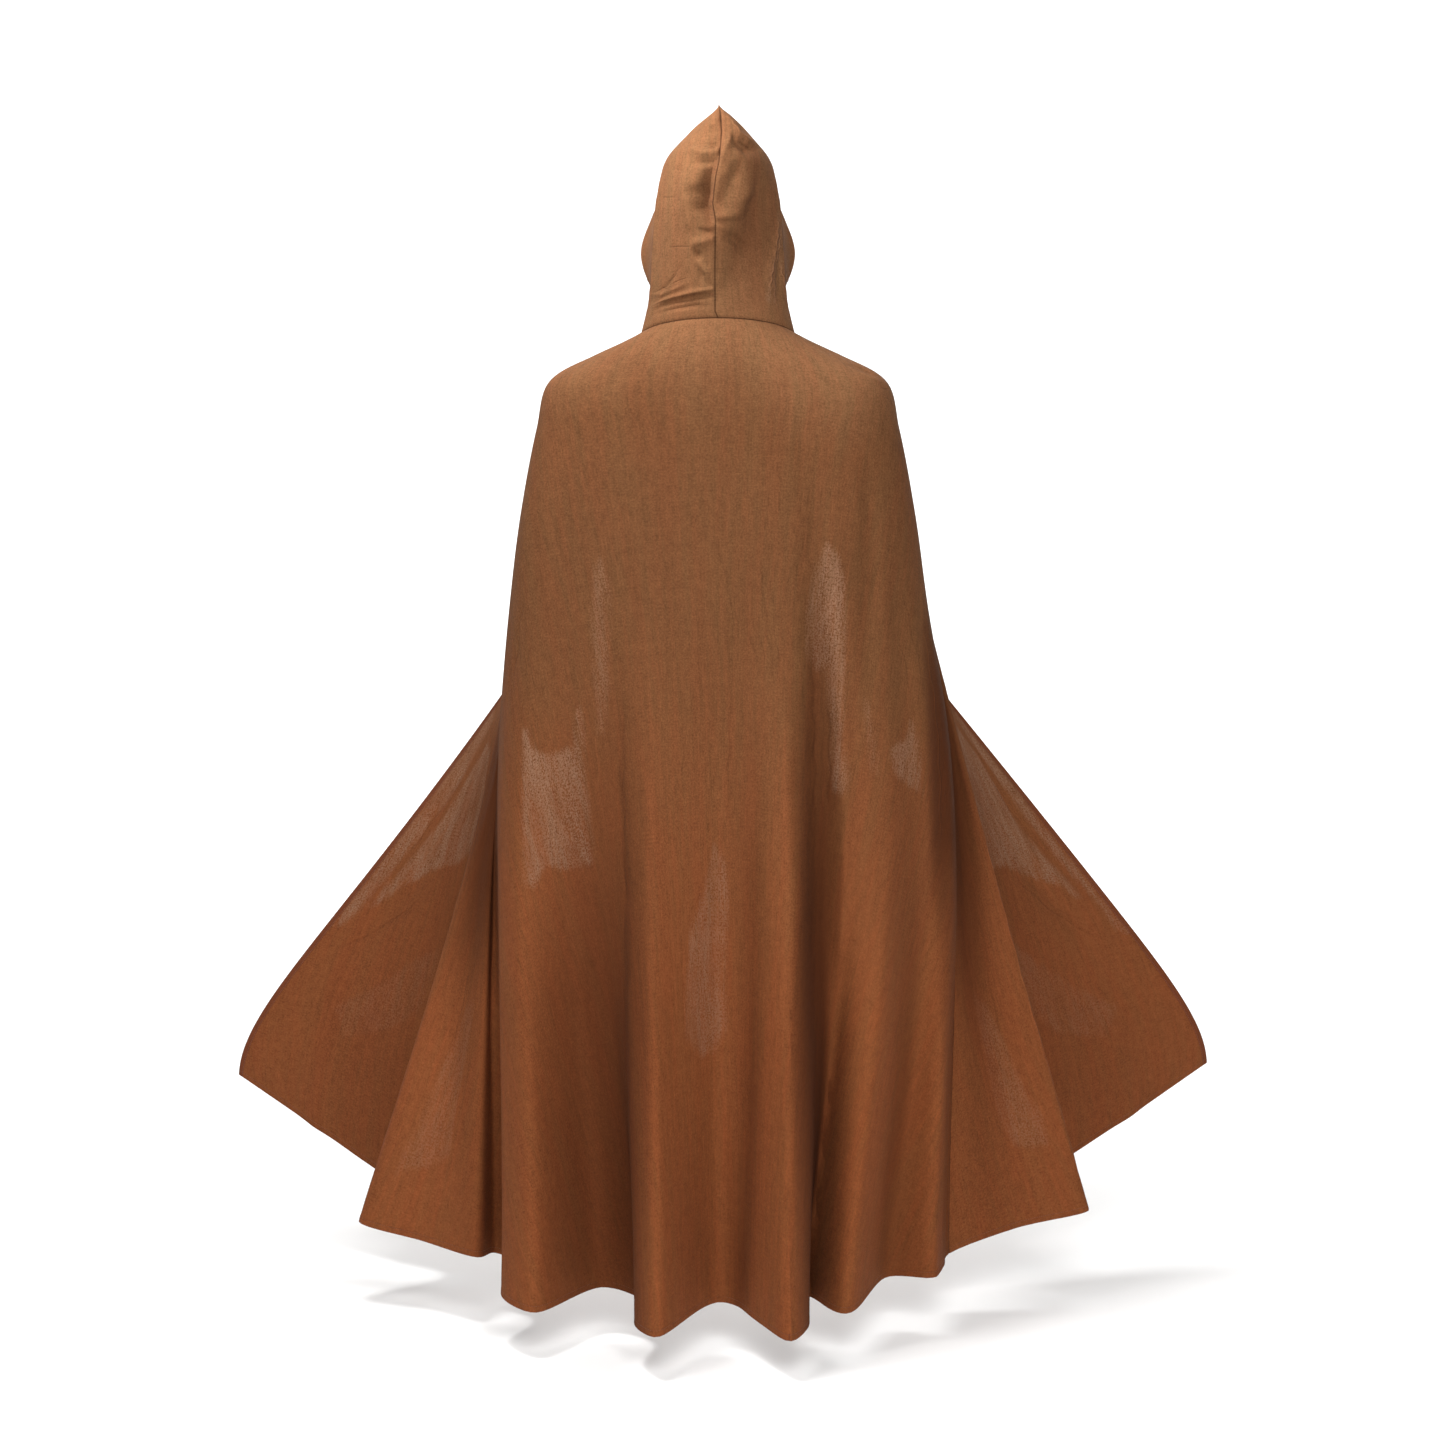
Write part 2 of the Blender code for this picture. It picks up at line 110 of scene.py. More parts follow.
def through(points, knots, at):
    """Points of a smooth curve through rows of points at these knots, or of a stack of such curves."""
    knots = np.asarray(knots)
    lengths = np.diff(knots)
    spans = lengths.reshape((-1,) + (1,) * (points.ndim - 1))
    slopes = np.diff(points, axis=0) / spans
    inner = (slopes[:-1] * spans[1:] + slopes[1:] * spans[:-1]) / (spans[1:] + spans[:-1])
    tangents = np.concatenate([slopes[:1], inner, slopes[-1:]])
    i = np.clip(np.searchsorted(knots, at, side="right") - 1, 0, len(knots) - 2)
    t = ((at - knots[i]) / lengths[i])[:, None]
    own = (np.arange(len(at)),) if points.ndim == 3 else ()
    leaving = tangents[(i, *own)] * lengths[i][:, None]
    arriving = tangents[(i + 1, *own)] * lengths[i][:, None]
    return (
        (1 + 2 * t) * (1 - t) ** 2 * points[(i, *own)]
        + t * (1 - t) ** 2 * leaving
        + t**2 * (3 - 2 * t) * points[(i + 1, *own)]
        + t**2 * (t - 1) * arriving
    )


def lengths_along(points):
    """The distance of each point from the first one, along the line."""
    return np.concatenate([[0.0], np.cumsum(np.linalg.norm(np.diff(points, axis=0), axis=1))])


def half_section(section):
    """One half of a section, from its front edge to the middle of the back, as closely spaced points."""
    turn = np.linspace(0, math.pi / 2, FORM_SAMPLES)
    power = 2 / section.square
    away, out = np.cos(turn) ** power, np.sin(turn) ** power
    tilt = out**section.tilt
    front = np.stack([
        section.edge_x + (section.side_x - section.edge_x) * away,
        section.side_y + (section.edge_y - section.side_y) * out,
        section.side_z + (section.edge_z - section.side_z) * tilt,
    ], axis=1)
    back = np.stack([
        section.side_x * away,
        section.side_y + (section.back_y - section.side_y) * out,
        section.side_z + (section.back_z - section.side_z) * tilt,
    ], axis=1)
    return np.concatenate([front[::-1], back[1:]])


def evenly(line, shares):
    """Points of a line at these shares of its length."""
    lengths = lengths_along(line)
    return np.stack([np.interp(shares * lengths[-1], lengths, line[:, k]) for k in range(3)], axis=1)


class HemLine:
    """The folded hem and the plain sweep it is folded about, by share of the hem's length."""

    def __init__(self, folds):
        rows = np.array([tuple(fold) for fold in folds.values()])
        knots = np.concatenate([[0.0], np.cumsum(np.sqrt(np.diff(lengths_along(rows[:, :3]))))])
        line = through(rows[:, :3], knots, np.linspace(0, knots[-1], HEM_SAMPLES))
        lengths = lengths_along(line)
        self.shares = np.linspace(0, 1, HEM_SAMPLES)
        self.folded = evenly(line, self.shares)
        at_knots = np.interp(knots, np.linspace(0, knots[-1], HEM_SAMPLES), lengths / lengths[-1])
        self.share_of = dict(zip(folds, at_knots))
        self.landmarks = (0.0, *(self.share_of[name] for name in SIDE_SEAMS_AND_MIDDLE), 1.0)
        self.starts = np.interp(self.shares, at_knots, rows[:, 3])
        self.bows = np.interp(self.shares, at_knots, rows[:, 4])
        self.plain = self.smoothed(self.folded)

    def smoothed(self, line):
        """The line with its folds averaged out, keeping its two ends."""
        reach = int(3 * SMOOTH_SHARE * HEM_SAMPLES)
        weights = np.exp(-0.5 * (np.arange(-reach, reach + 1) / (SMOOTH_SHARE * HEM_SAMPLES)) ** 2)
        before = 2 * line[0] - line[reach:0:-1]
        after = 2 * line[-1] - line[-2:-reach - 2:-1]
        padded = np.concatenate([before, line, after])
        weights /= weights.sum()
        return np.stack([np.convolve(padded[:, k], weights, "valid") for k in range(3)], axis=1)

    def at(self, values, across):
        """A value, or a point, of the hem at these shares of its length."""
        if values.ndim == 1:
            return np.interp(across, self.shares, values)
        return np.stack([np.interp(across, self.shares, values[:, k]) for k in range(3)], axis=1)


hem = HemLine(HEM)
left_side, _, right_side = hem.landmarks[1:4]


def section_line(section, across):
    """Points of a whole section. Its sides lie on the side seams, and its middle above the hem's middle."""
    quarter = np.interp(across, hem.landmarks, range(5))
    half = half_section(section)
    lengths = lengths_along(half)
    stops = (0.0, lengths[FORM_SAMPLES - 1], lengths[-1])
    points = evenly(half, np.interp(2 - np.abs(quarter - 2), range(3), stops) / lengths[-1])
    points[:, 0] *= np.where(quarter > 2, -section.right, 1)
    return points


def body_form(across):
    """Points of the cloak without its folds: a row for each section and one for the plain hem."""
    lines = [section_line(section, across) for section in BODY_SECTIONS.values()]
    return np.stack(lines + [hem.at(hem.plain, across)])


def shares_of(form):
    """The share of a form's whole length at which each of its rows lies."""
    steps = np.linalg.norm(np.diff(form(np.linspace(0, 1, FORM_SAMPLES)), axis=0), axis=2).mean(axis=1)
    return np.concatenate([[0.0], np.cumsum(steps)]) / steps.sum()


body_shares = shares_of(body_form)


def body_at(across, down):
    """Points of the cloak below the neck, where the cloth hangs in its main folds."""
    plain = through(body_form(across), body_shares, down)
    folds = hem.at(hem.folded, across) - hem.at(hem.plain, across)
    starts = hem.at(hem.starts, across)
    drop = np.clip((down - starts) / (1 - starts), 0, 1)
    plain[:, 0] += np.sign(0.5 - across) * hem.at(hem.bows, across) * drop**1.3 * (1 - drop**8)
    return plain + folds * (drop**FOLD_GROWTH)[:, None]


# A soft ridge in the cloth, or a trough if its depth is below 0, from one place to another. Across and down
# are shares of the hem and of the cloth's length, widths and depth are metres, and deepest is the share of
# the run at which it is deepest.
Crease = namedtuple("Crease", "across down to_across to_down width to_width depth deepest", defaults=(0.5,))
BACK_CREASES = {
    "left_blade_trough": Crease(0.360, 0.12, 0.381, 0.50, 0.013, 0.018, -0.0032, 0.45),
    "left_edge_ridge": Crease(0.318, 0.15, 0.330, 0.42, 0.012, 0.014, 0.0022),
    "left_inner_ridge": Crease(0.404, 0.13, 0.432, 0.44, 0.007, 0.010, 0.0016, 0.4),
    "left_thin_trough": Crease(0.396, 0.14, 0.412, 0.34, 0.005, 0.006, -0.0012, 0.4),
    "left_edge_pull": Crease(0.333, 0.31, 0.322, 0.43, 0.004, 0.006, -0.0014),
    "left_edge_pull_two": Crease(0.322, 0.36, 0.312, 0.47, 0.004, 0.005, -0.0011, 0.4),
    "right_valley_line": Crease(0.609, 0.19, 0.603, 0.30, 0.003, 0.004, -0.0014, 0.4),
    "right_blade_ridge": Crease(0.667, 0.13, 0.648, 0.28, 0.004, 0.005, 0.0014),
    "right_blade_trough": Crease(0.684, 0.14, 0.645, 0.48, 0.009, 0.014, -0.0034, 0.45),
    "right_arm_ridge": Crease(0.684, 0.20, 0.664, 0.42, 0.008, 0.009, 0.0022),
    "right_arm_trough": Crease(0.700, 0.29, 0.682, 0.52, 0.009, 0.013, -0.0026),
    "shoulder_dart": Crease(0.704, 0.058, 0.735, 0.085, 0.0045, 0.0040, -0.0040, 0.8),
    "shoulder_dart_lip": Crease(0.700, 0.072, 0.730, 0.096, 0.0040, 0.0035, 0.0022, 0.8),
    "shoulder_nick": Crease(0.716, 0.100, 0.738, 0.104, 0.0030, 0.0030, -0.0016, 0.6),
    "left_shoulder_drag": Crease(0.430, 0.03, 0.350, 0.13, 0.011, 0.015, -0.0016),
    "right_shoulder_drag": Crease(0.600, 0.04, 0.670, 0.12, 0.011, 0.015, -0.0014),
}

# A long fold down the cloth that isn't in the solid, or that sharpens one that is. Square is how steep its
# flanks are. Each station has a share down, a share across, the widths of the flanks before and after it,
# and the depth there, in metres.
LongFold = namedtuple("LongFold", "square stations")
BACK_FOLDS = {
    "right_cleft": LongFold(2.6, (
        (0.14, 0.6216, 0.008, 0.008, 0.000), (0.27, 0.6104, 0.009, 0.010, -0.005),
        (0.35, 0.6056, 0.011, 0.014, -0.013), (0.43, 0.5995, 0.014, 0.018, -0.026),
        (0.52, 0.5957, 0.015, 0.024, -0.042), (0.61, 0.5942, 0.016, 0.030, -0.050),
        (0.70, 0.5970, 0.018, 0.042, -0.048), (0.80, 0.6020, 0.020, 0.054, -0.040),
        (0.90, 0.6080, 0.020, 0.056, -0.028), (1.00, 0.6120, 0.020, 0.050, -0.016),
    )),
    "right_cleft_lip": LongFold(2.4, (
        (0.30, 0.630, 0.010, 0.018, 0.000), (0.43, 0.627, 0.010, 0.024, 0.007),
        (0.52, 0.625, 0.011, 0.028, 0.011), (0.61, 0.629, 0.012, 0.030, 0.014),
        (0.70, 0.638, 0.018, 0.030, 0.014), (0.80, 0.646, 0.022, 0.028, 0.013),
        (0.90, 0.650, 0.026, 0.026, 0.012), (1.00, 0.652, 0.028, 0.024, 0.010),
    )),
    "left_step": LongFold(2.0, (
        (0.28, 0.4160, 0.018, 0.008, 0.000), (0.43, 0.4310, 0.026, 0.008, -0.010),
        (0.52, 0.4360, 0.034, 0.008, -0.017), (0.61, 0.4385, 0.038, 0.008, -0.022),
        (0.70, 0.4370, 0.040, 0.008, -0.024), (0.80, 0.4330, 0.038, 0.009, -0.020),
        (0.90, 0.4290, 0.034, 0.010, -0.013), (1.00, 0.4260, 0.030, 0.010, -0.007),
    )),
    "left_step_lip": LongFold(2.0, (
        (0.22, 0.4360, 0.008, 0.016, 0.000), (0.35, 0.4509, 0.009, 0.018, 0.002),
        (0.43, 0.4570, 0.009, 0.022, 0.004), (0.52, 0.4600, 0.009, 0.026, 0.007),
        (0.61, 0.4620, 0.010, 0.030, 0.009), (0.70, 0.4630, 0.010, 0.030, 0.009),
        (0.80, 0.4630, 0.010, 0.026, 0.007), (1.00, 0.4620, 0.010, 0.022, 0.003),
    )),
    "middle_dip": LongFold(2.0, (
        (0.27, 0.5510, 0.010, 0.010, 0.000), (0.43, 0.5428, 0.016, 0.012, -0.005),
        (0.61, 0.5403, 0.022, 0.014, -0.013), (0.80, 0.5385, 0.026, 0.016, -0.018),
        (1.00, 0.5290, 0.026, 0.018, -0.011),
    )),
    "right_ridge": LongFold(2.0, (
        (0.30, 0.5770, 0.014, 0.007, 0.000), (0.43, 0.5720, 0.020, 0.008, 0.005),
        (0.52, 0.5700, 0.024, 0.008, 0.009), (0.61, 0.5700, 0.026, 0.009, 0.012),
        (0.70, 0.5700, 0.026, 0.009, 0.012), (0.85, 0.5715, 0.024, 0.010, 0.010),
        (1.00, 0.5710, 0.022, 0.010, 0.006),
    )),
    "right_plane": LongFold(2.0, (
        (0.40, 0.6642, 0.018, 0.016, 0.000), (0.61, 0.6750, 0.022, 0.018, -0.008),
        (0.80, 0.6960, 0.026, 0.020, -0.010), (1.00, 0.7110, 0.024, 0.020, -0.007),
    )),
    "right_outer_lip": LongFold(2.0, (
        (0.27, 0.7054, 0.012, 0.01, 0.000), (0.44, 0.7040, 0.016, 0.01, 0.006),
        (0.61, 0.7160, 0.020, 0.01, 0.012), (0.80, 0.7290, 0.022, 0.01, 0.014),
        (1.00, 0.7330, 0.020, 0.01, 0.010),
    )),
    "first_ridge_lift": LongFold(2.0, (
        (0.62, 0.3521, 0.014, 0.022, 0.000), (0.80, 0.3433, 0.014, 0.026, 0.005),
        (1.00, 0.3396, 0.014, 0.026, 0.004),
    )),
    "left_blade_line": LongFold(2.0, (
        (0.11, 0.3540, 0.009, 0.012, 0.0000), (0.15, 0.3577, 0.010, 0.014, -0.0030),
        (0.21, 0.3684, 0.010, 0.016, -0.0045), (0.27, 0.3740, 0.012, 0.016, -0.0040),
        (0.35, 0.3784, 0.014, 0.016, -0.0030), (0.45, 0.3810, 0.014, 0.016, 0.0000),
    )),
    "left_thin_line": LongFold(2.0, (
        (0.12, 0.4020, 0.004, 0.005, 0.0000), (0.15, 0.4046, 0.004, 0.006, -0.0014),
        (0.21, 0.4121, 0.004, 0.006, -0.0018), (0.30, 0.4175, 0.004, 0.006, 0.0000),
    )),
    "right_blade_line": LongFold(2.0, (
        (0.11, 0.6070, 0.006, 0.010, 0.0000), (0.15, 0.6054, 0.006, 0.012, -0.0024),
        (0.21, 0.6016, 0.006, 0.014, -0.0030), (0.27, 0.5997, 0.006, 0.014, -0.0034),
        (0.36, 0.5966, 0.007, 0.014, -0.0040), (0.45, 0.5930, 0.008, 0.012, 0.0000),
    )),
    "right_arm_dip": LongFold(2.0, (
        (0.17, 0.6760, 0.006, 0.008, 0.0000), (0.21, 0.6717, 0.007, 0.009, -0.0030),
        (0.27, 0.6604, 0.008, 0.010, -0.0040), (0.36, 0.6504, 0.008, 0.010, -0.0034),
        (0.44, 0.6450, 0.008, 0.010, 0.0000),
    )),
    "right_arm_line": LongFold(2.0, (
        (0.19, 0.6860, 0.005, 0.006, 0.0000), (0.23, 0.6798, 0.005, 0.007, 0.0022),
        (0.30, 0.6698, 0.006, 0.008, 0.0028), (0.40, 0.6573, 0.006, 0.008, 0.0020),
        (0.46, 0.6520, 0.006, 0.008, 0.0000),
    )),
    "right_hip_dip": LongFold(2.0, (
        (0.27, 0.6930, 0.008, 0.012, 0.0000), (0.32, 0.6892, 0.009, 0.014, -0.0034),
        (0.40, 0.6854, 0.010, 0.014, -0.0044), (0.46, 0.6811, 0.010, 0.014, -0.0020),
        (0.50, 0.6790, 0.010, 0.012, 0.0000),
    )),
}

# A thin line pressed or puckered into the cloth, by its two ends, half of its width in metres, and how deep
# it looks. Below 0 it is a groove. Besides its bump, a ridge is painted lighter as a painted highlight and
# a groove darker as painted shade.
Pressed = namedtuple("Pressed", "across down to_across to_down half depth")
BACK_LINES = {
    "middle_crinkle": Pressed(0.513, 0.225, 0.541, 0.365, 0.0020, -0.49),
    "middle_crinkle_two": Pressed(0.556, 0.250, 0.566, 0.410, 0.0020, -0.56),
    "middle_crinkle_three": Pressed(0.526, 0.300, 0.526, 0.390, 0.0018, -0.42),
    "middle_crinkle_four": Pressed(0.545, 0.330, 0.551, 0.380, 0.0018, -0.49),
    "middle_long_crinkle": Pressed(0.527, 0.390, 0.524, 0.540, 0.0022, -0.42),
    "right_cleft_line": Pressed(0.599, 0.360, 0.592, 0.560, 0.0026, -0.70),
    "right_cleft_line_two": Pressed(0.610, 0.400, 0.606, 0.540, 0.0022, -0.56),
    "right_edge_of_valley": Pressed(0.587, 0.420, 0.584, 0.640, 0.0020, 0.35),
    "left_waist_line": Pressed(0.437, 0.400, 0.443, 0.640, 0.0022, -0.42),
    "left_waist_line_two": Pressed(0.412, 0.430, 0.415, 0.520, 0.0018, 0.49),
    "left_middle_crinkle": Pressed(0.474, 0.300, 0.472, 0.430, 0.0018, -0.28),
    "left_middle_crinkle_two": Pressed(0.488, 0.390, 0.489, 0.540, 0.0020, -0.28),
    "left_hip_line": Pressed(0.371, 0.520, 0.372, 0.600, 0.0026, -0.63),
    "right_hip_line": Pressed(0.575, 0.300, 0.573, 0.420, 0.0020, -0.28),
    "right_edge_line": Pressed(0.7235, 0.330, 0.7185, 0.580, 0.0018, 1.00),
    "right_arm_line": Pressed(0.698, 0.300, 0.712, 0.420, 0.0020, -0.42),
    "right_arm_line_two": Pressed(0.687, 0.340, 0.694, 0.430, 0.0020, -0.35),
    "left_arm_line": Pressed(0.331, 0.310, 0.322, 0.420, 0.0020, -0.35),
    "left_arm_line_two": Pressed(0.343, 0.350, 0.340, 0.450, 0.0018, -0.28),
    "shoulder_dart": Pressed(0.704, 0.060, 0.738, 0.092, 0.0022, -0.84),
    "shoulder_dart_two": Pressed(0.716, 0.100, 0.742, 0.106, 0.0018, -0.56),
}

# Painted shade: cloth deep in a fold is painted darker. Each row has the stations of a long fold, with how
# strongly the shade shows in place of a depth.
BACK_FOLD_SHADE = {
    "right_cleft": LongFold(4.0, (
        (0.20, 0.6150, 0.008, 0.008, 0.00), (0.30, 0.6085, 0.009, 0.011, 0.20),
        (0.40, 0.6020, 0.011, 0.015, 0.45), (0.47, 0.5970, 0.015, 0.018, 0.60),
        (0.55, 0.5945, 0.019, 0.024, 0.85), (0.63, 0.5935, 0.028, 0.032, 1.00),
        (0.72, 0.5960, 0.044, 0.048, 1.00), (0.79, 0.6030, 0.068, 0.062, 1.00),
        (0.84, 0.6080, 0.078, 0.070, 1.00), (1.00, 0.6130, 0.095, 0.080, 0.95),
    )),
    "left_step": LongFold(3.0, (
        (0.36, 0.425, 0.030, 0.020, 0.00), (0.48, 0.430, 0.050, 0.034, 0.25),
        (0.55, 0.432, 0.062, 0.040, 0.45), (0.63, 0.433, 0.100, 0.045, 0.66),
        (0.72, 0.432, 0.150, 0.058, 0.80), (0.84, 0.428, 0.170, 0.070, 0.84),
        (1.00, 0.424, 0.170, 0.085, 0.80),
    )),
    "middle_dip": LongFold(2.0, (
        (0.40, 0.5428, 0.016, 0.012, 0.00), (0.61, 0.5403, 0.022, 0.014, 0.40),
        (0.80, 0.5385, 0.026, 0.016, 0.55), (1.00, 0.5290, 0.026, 0.018, 0.45),
    )),
    "right_plane": LongFold(2.0, (
        (0.40, 0.670, 0.012, 0.012, 0.00), (0.61, 0.686, 0.030, 0.018, 0.35),
        (0.80, 0.706, 0.034, 0.018, 0.50), (1.00, 0.716, 0.030, 0.018, 0.40),
    )),
    "left_side": LongFold(2.0, (
        (0.10, 0.2769, 0.01, 0.010, 0.00), (0.25, 0.2769, 0.01, 0.016, 0.15),
        (0.50, 0.2769, 0.01, 0.016, 0.45), (0.75, 0.2769, 0.01, 0.014, 0.45),
        (1.00, 0.2769, 0.01, 0.014, 0.30),
    )),
    "right_side": LongFold(8.0, (
        (0.05, 0.7675, 0.010, 0.010, 0.10), (0.26, 0.7675, 0.012, 0.010, 0.40),
        (0.31, 0.7600, 0.016, 0.016, 0.35), (0.35, 0.7480, 0.032, 0.036, 0.55),
        (0.40, 0.7450, 0.038, 0.045, 0.90), (0.45, 0.7440, 0.044, 0.048, 1.00),
        (0.50, 0.7440, 0.050, 0.055, 1.00), (0.56, 0.7440, 0.053, 0.060, 1.00),
        (0.61, 0.7450, 0.055, 0.060, 0.70), (0.67, 0.7500, 0.050, 0.060, 0.45),
        (0.80, 0.7560, 0.050, 0.050, 0.35), (1.00, 0.7600, 0.040, 0.040, 0.30),
    )),
}

# Painted light: places where light shows through the thin cloth are painted paler and greyer, by how
# strongly it shows and its outline in shares across and down.
Sheer = namedtuple("Sheer", "strength outline")
BACK_SHEER = {
    "left_hip": Sheer(0.88, (
        (0.3421, 0.451), (0.3465, 0.448), (0.3496, 0.464), (0.3571, 0.471), (0.3696, 0.472),
        (0.3840, 0.469), (0.3915, 0.461), (0.3940, 0.428), (0.3965, 0.423), (0.4003, 0.456),
        (0.4021, 0.506), (0.4034, 0.546), (0.4053, 0.578), (0.3946, 0.585), (0.3809, 0.589),
        (0.3709, 0.584), (0.3615, 0.589), (0.3533, 0.607), (0.3465, 0.604), (0.3452, 0.568),
        (0.3427, 0.509),
    )),
    "left_blade": Sheer(0.36, (
        (0.4065, 0.270), (0.4115, 0.265), (0.4190, 0.288), (0.4221, 0.349), (0.4221, 0.402),
        (0.4196, 0.449), (0.4146, 0.449), (0.4109, 0.392), (0.4059, 0.319),
    )),
    "right_blade": Sheer(0.78, (
        (0.6216, 0.249), (0.6310, 0.265), (0.6354, 0.285), (0.6348, 0.323), (0.6285, 0.361),
        (0.6241, 0.413), (0.6216, 0.455), (0.6254, 0.491), (0.6204, 0.512), (0.6110, 0.505),
        (0.6098, 0.461), (0.6110, 0.412), (0.6110, 0.379), (0.6029, 0.382), (0.5985, 0.369),
        (0.5985, 0.320), (0.6023, 0.296), (0.6079, 0.276),
    )),
    "right_hip": Sheer(0.72, (
        (0.6892, 0.439), (0.6954, 0.461), (0.6954, 0.514), (0.6823, 0.506), (0.6660, 0.489),
        (0.6629, 0.466), (0.6704, 0.462), (0.6811, 0.459),
    )),
    "right_hip_streak": Sheer(0.3, (
        (0.6423, 0.412), (0.6479, 0.425), (0.6504, 0.456), (0.6523, 0.492), (0.6460, 0.492),
        (0.6435, 0.456),
    )),
    "middle": Sheer(0.55, (
        (0.5153, 0.559), (0.5216, 0.578), (0.5228, 0.631), (0.5203, 0.688), (0.5197, 0.735),
        (0.5141, 0.760), (0.5034, 0.761), (0.4922, 0.740), (0.4909, 0.712), (0.4928, 0.657),
        (0.4991, 0.625), (0.5078, 0.602), (0.5116, 0.569),
    )),
}


def eased(share):
    """A share from 0 to 1 with soft ends."""
    share = np.clip(share, 0, 1)
    return share * share * (3 - 2 * share)


def bell(off, width):
    """1 on a line and falling softly to both sides of it, at this distance off it and for this width."""
    return np.exp(-0.5 * (off / width) ** 2)


def beside(ends, across, down, girth, length):
    """Metres from the straight run between two ends, and the share of the run that lies nearest."""
    across_from, down_from, across_to, down_to = ends
    run = (across_to - across_from) * girth, (down_to - down_from) * length
    step = (across - across_from) * girth, (down - down_from) * length
    share = np.clip((run[0] * step[0] + run[1] * step[1]) / (run[0] ** 2 + run[1] ** 2), 0, 1)
    return np.hypot(step[0] - share * run[0], step[1] - share * run[1]), share


def beside_run(stations, across, down, girth, length):
    """Metres from a line through these stations, and the line's width and depth at the nearest place."""
    nearest = np.full(across.shape, np.inf)
    width, depth = np.ones(across.shape), np.zeros(across.shape)
    for here, there in zip(stations[:-1], stations[1:]):
        off, share = beside((*here[:2], *there[:2]), across, down, girth, length)
        nearer = off < nearest
        nearest = np.where(nearer, off, nearest)
        width = np.where(nearer, here[2] + (there[2] - here[2]) * share, width)
        depth = np.where(nearer, here[3] + (there[3] - here[3]) * share, depth)
    return nearest, width, depth


def inside_by(outline, points):
    """How far inside an outline each point lies. It is below 0 outside."""
    nearest = np.full(len(points), np.inf)
    within = np.zeros(len(points), bool)
    for here, there in zip(outline, np.roll(outline, -1, axis=0)):
        run, step = there - here, points - here
        share = np.clip(step @ run / (run @ run), 0, 1)
        nearest = np.minimum(nearest, np.hypot(*(step - share[:, None] * run).T))
        passes = (here[1] > points[:, 1]) != (there[1] > points[:, 1])
        within ^= passes & (step[:, 0] < run[0] * step[:, 1] / (run[1] or 1.0))
    return np.where(within, nearest, -nearest)


# What shapes and colours a piece of cloth: tables of its creases, long folds, ripples, pressed lines, sheer
# places with their painted light, and the painted shade deep in folds.
Relief = namedtuple("Relief", "creases folds ripples lines sheer deep")
# A piece as it is cut, laid flat: its box and area, and the circle that its neck edge is part of.
Cut = namedtuple("Cut", "width length area neck_radius spread", defaults=(None, None))


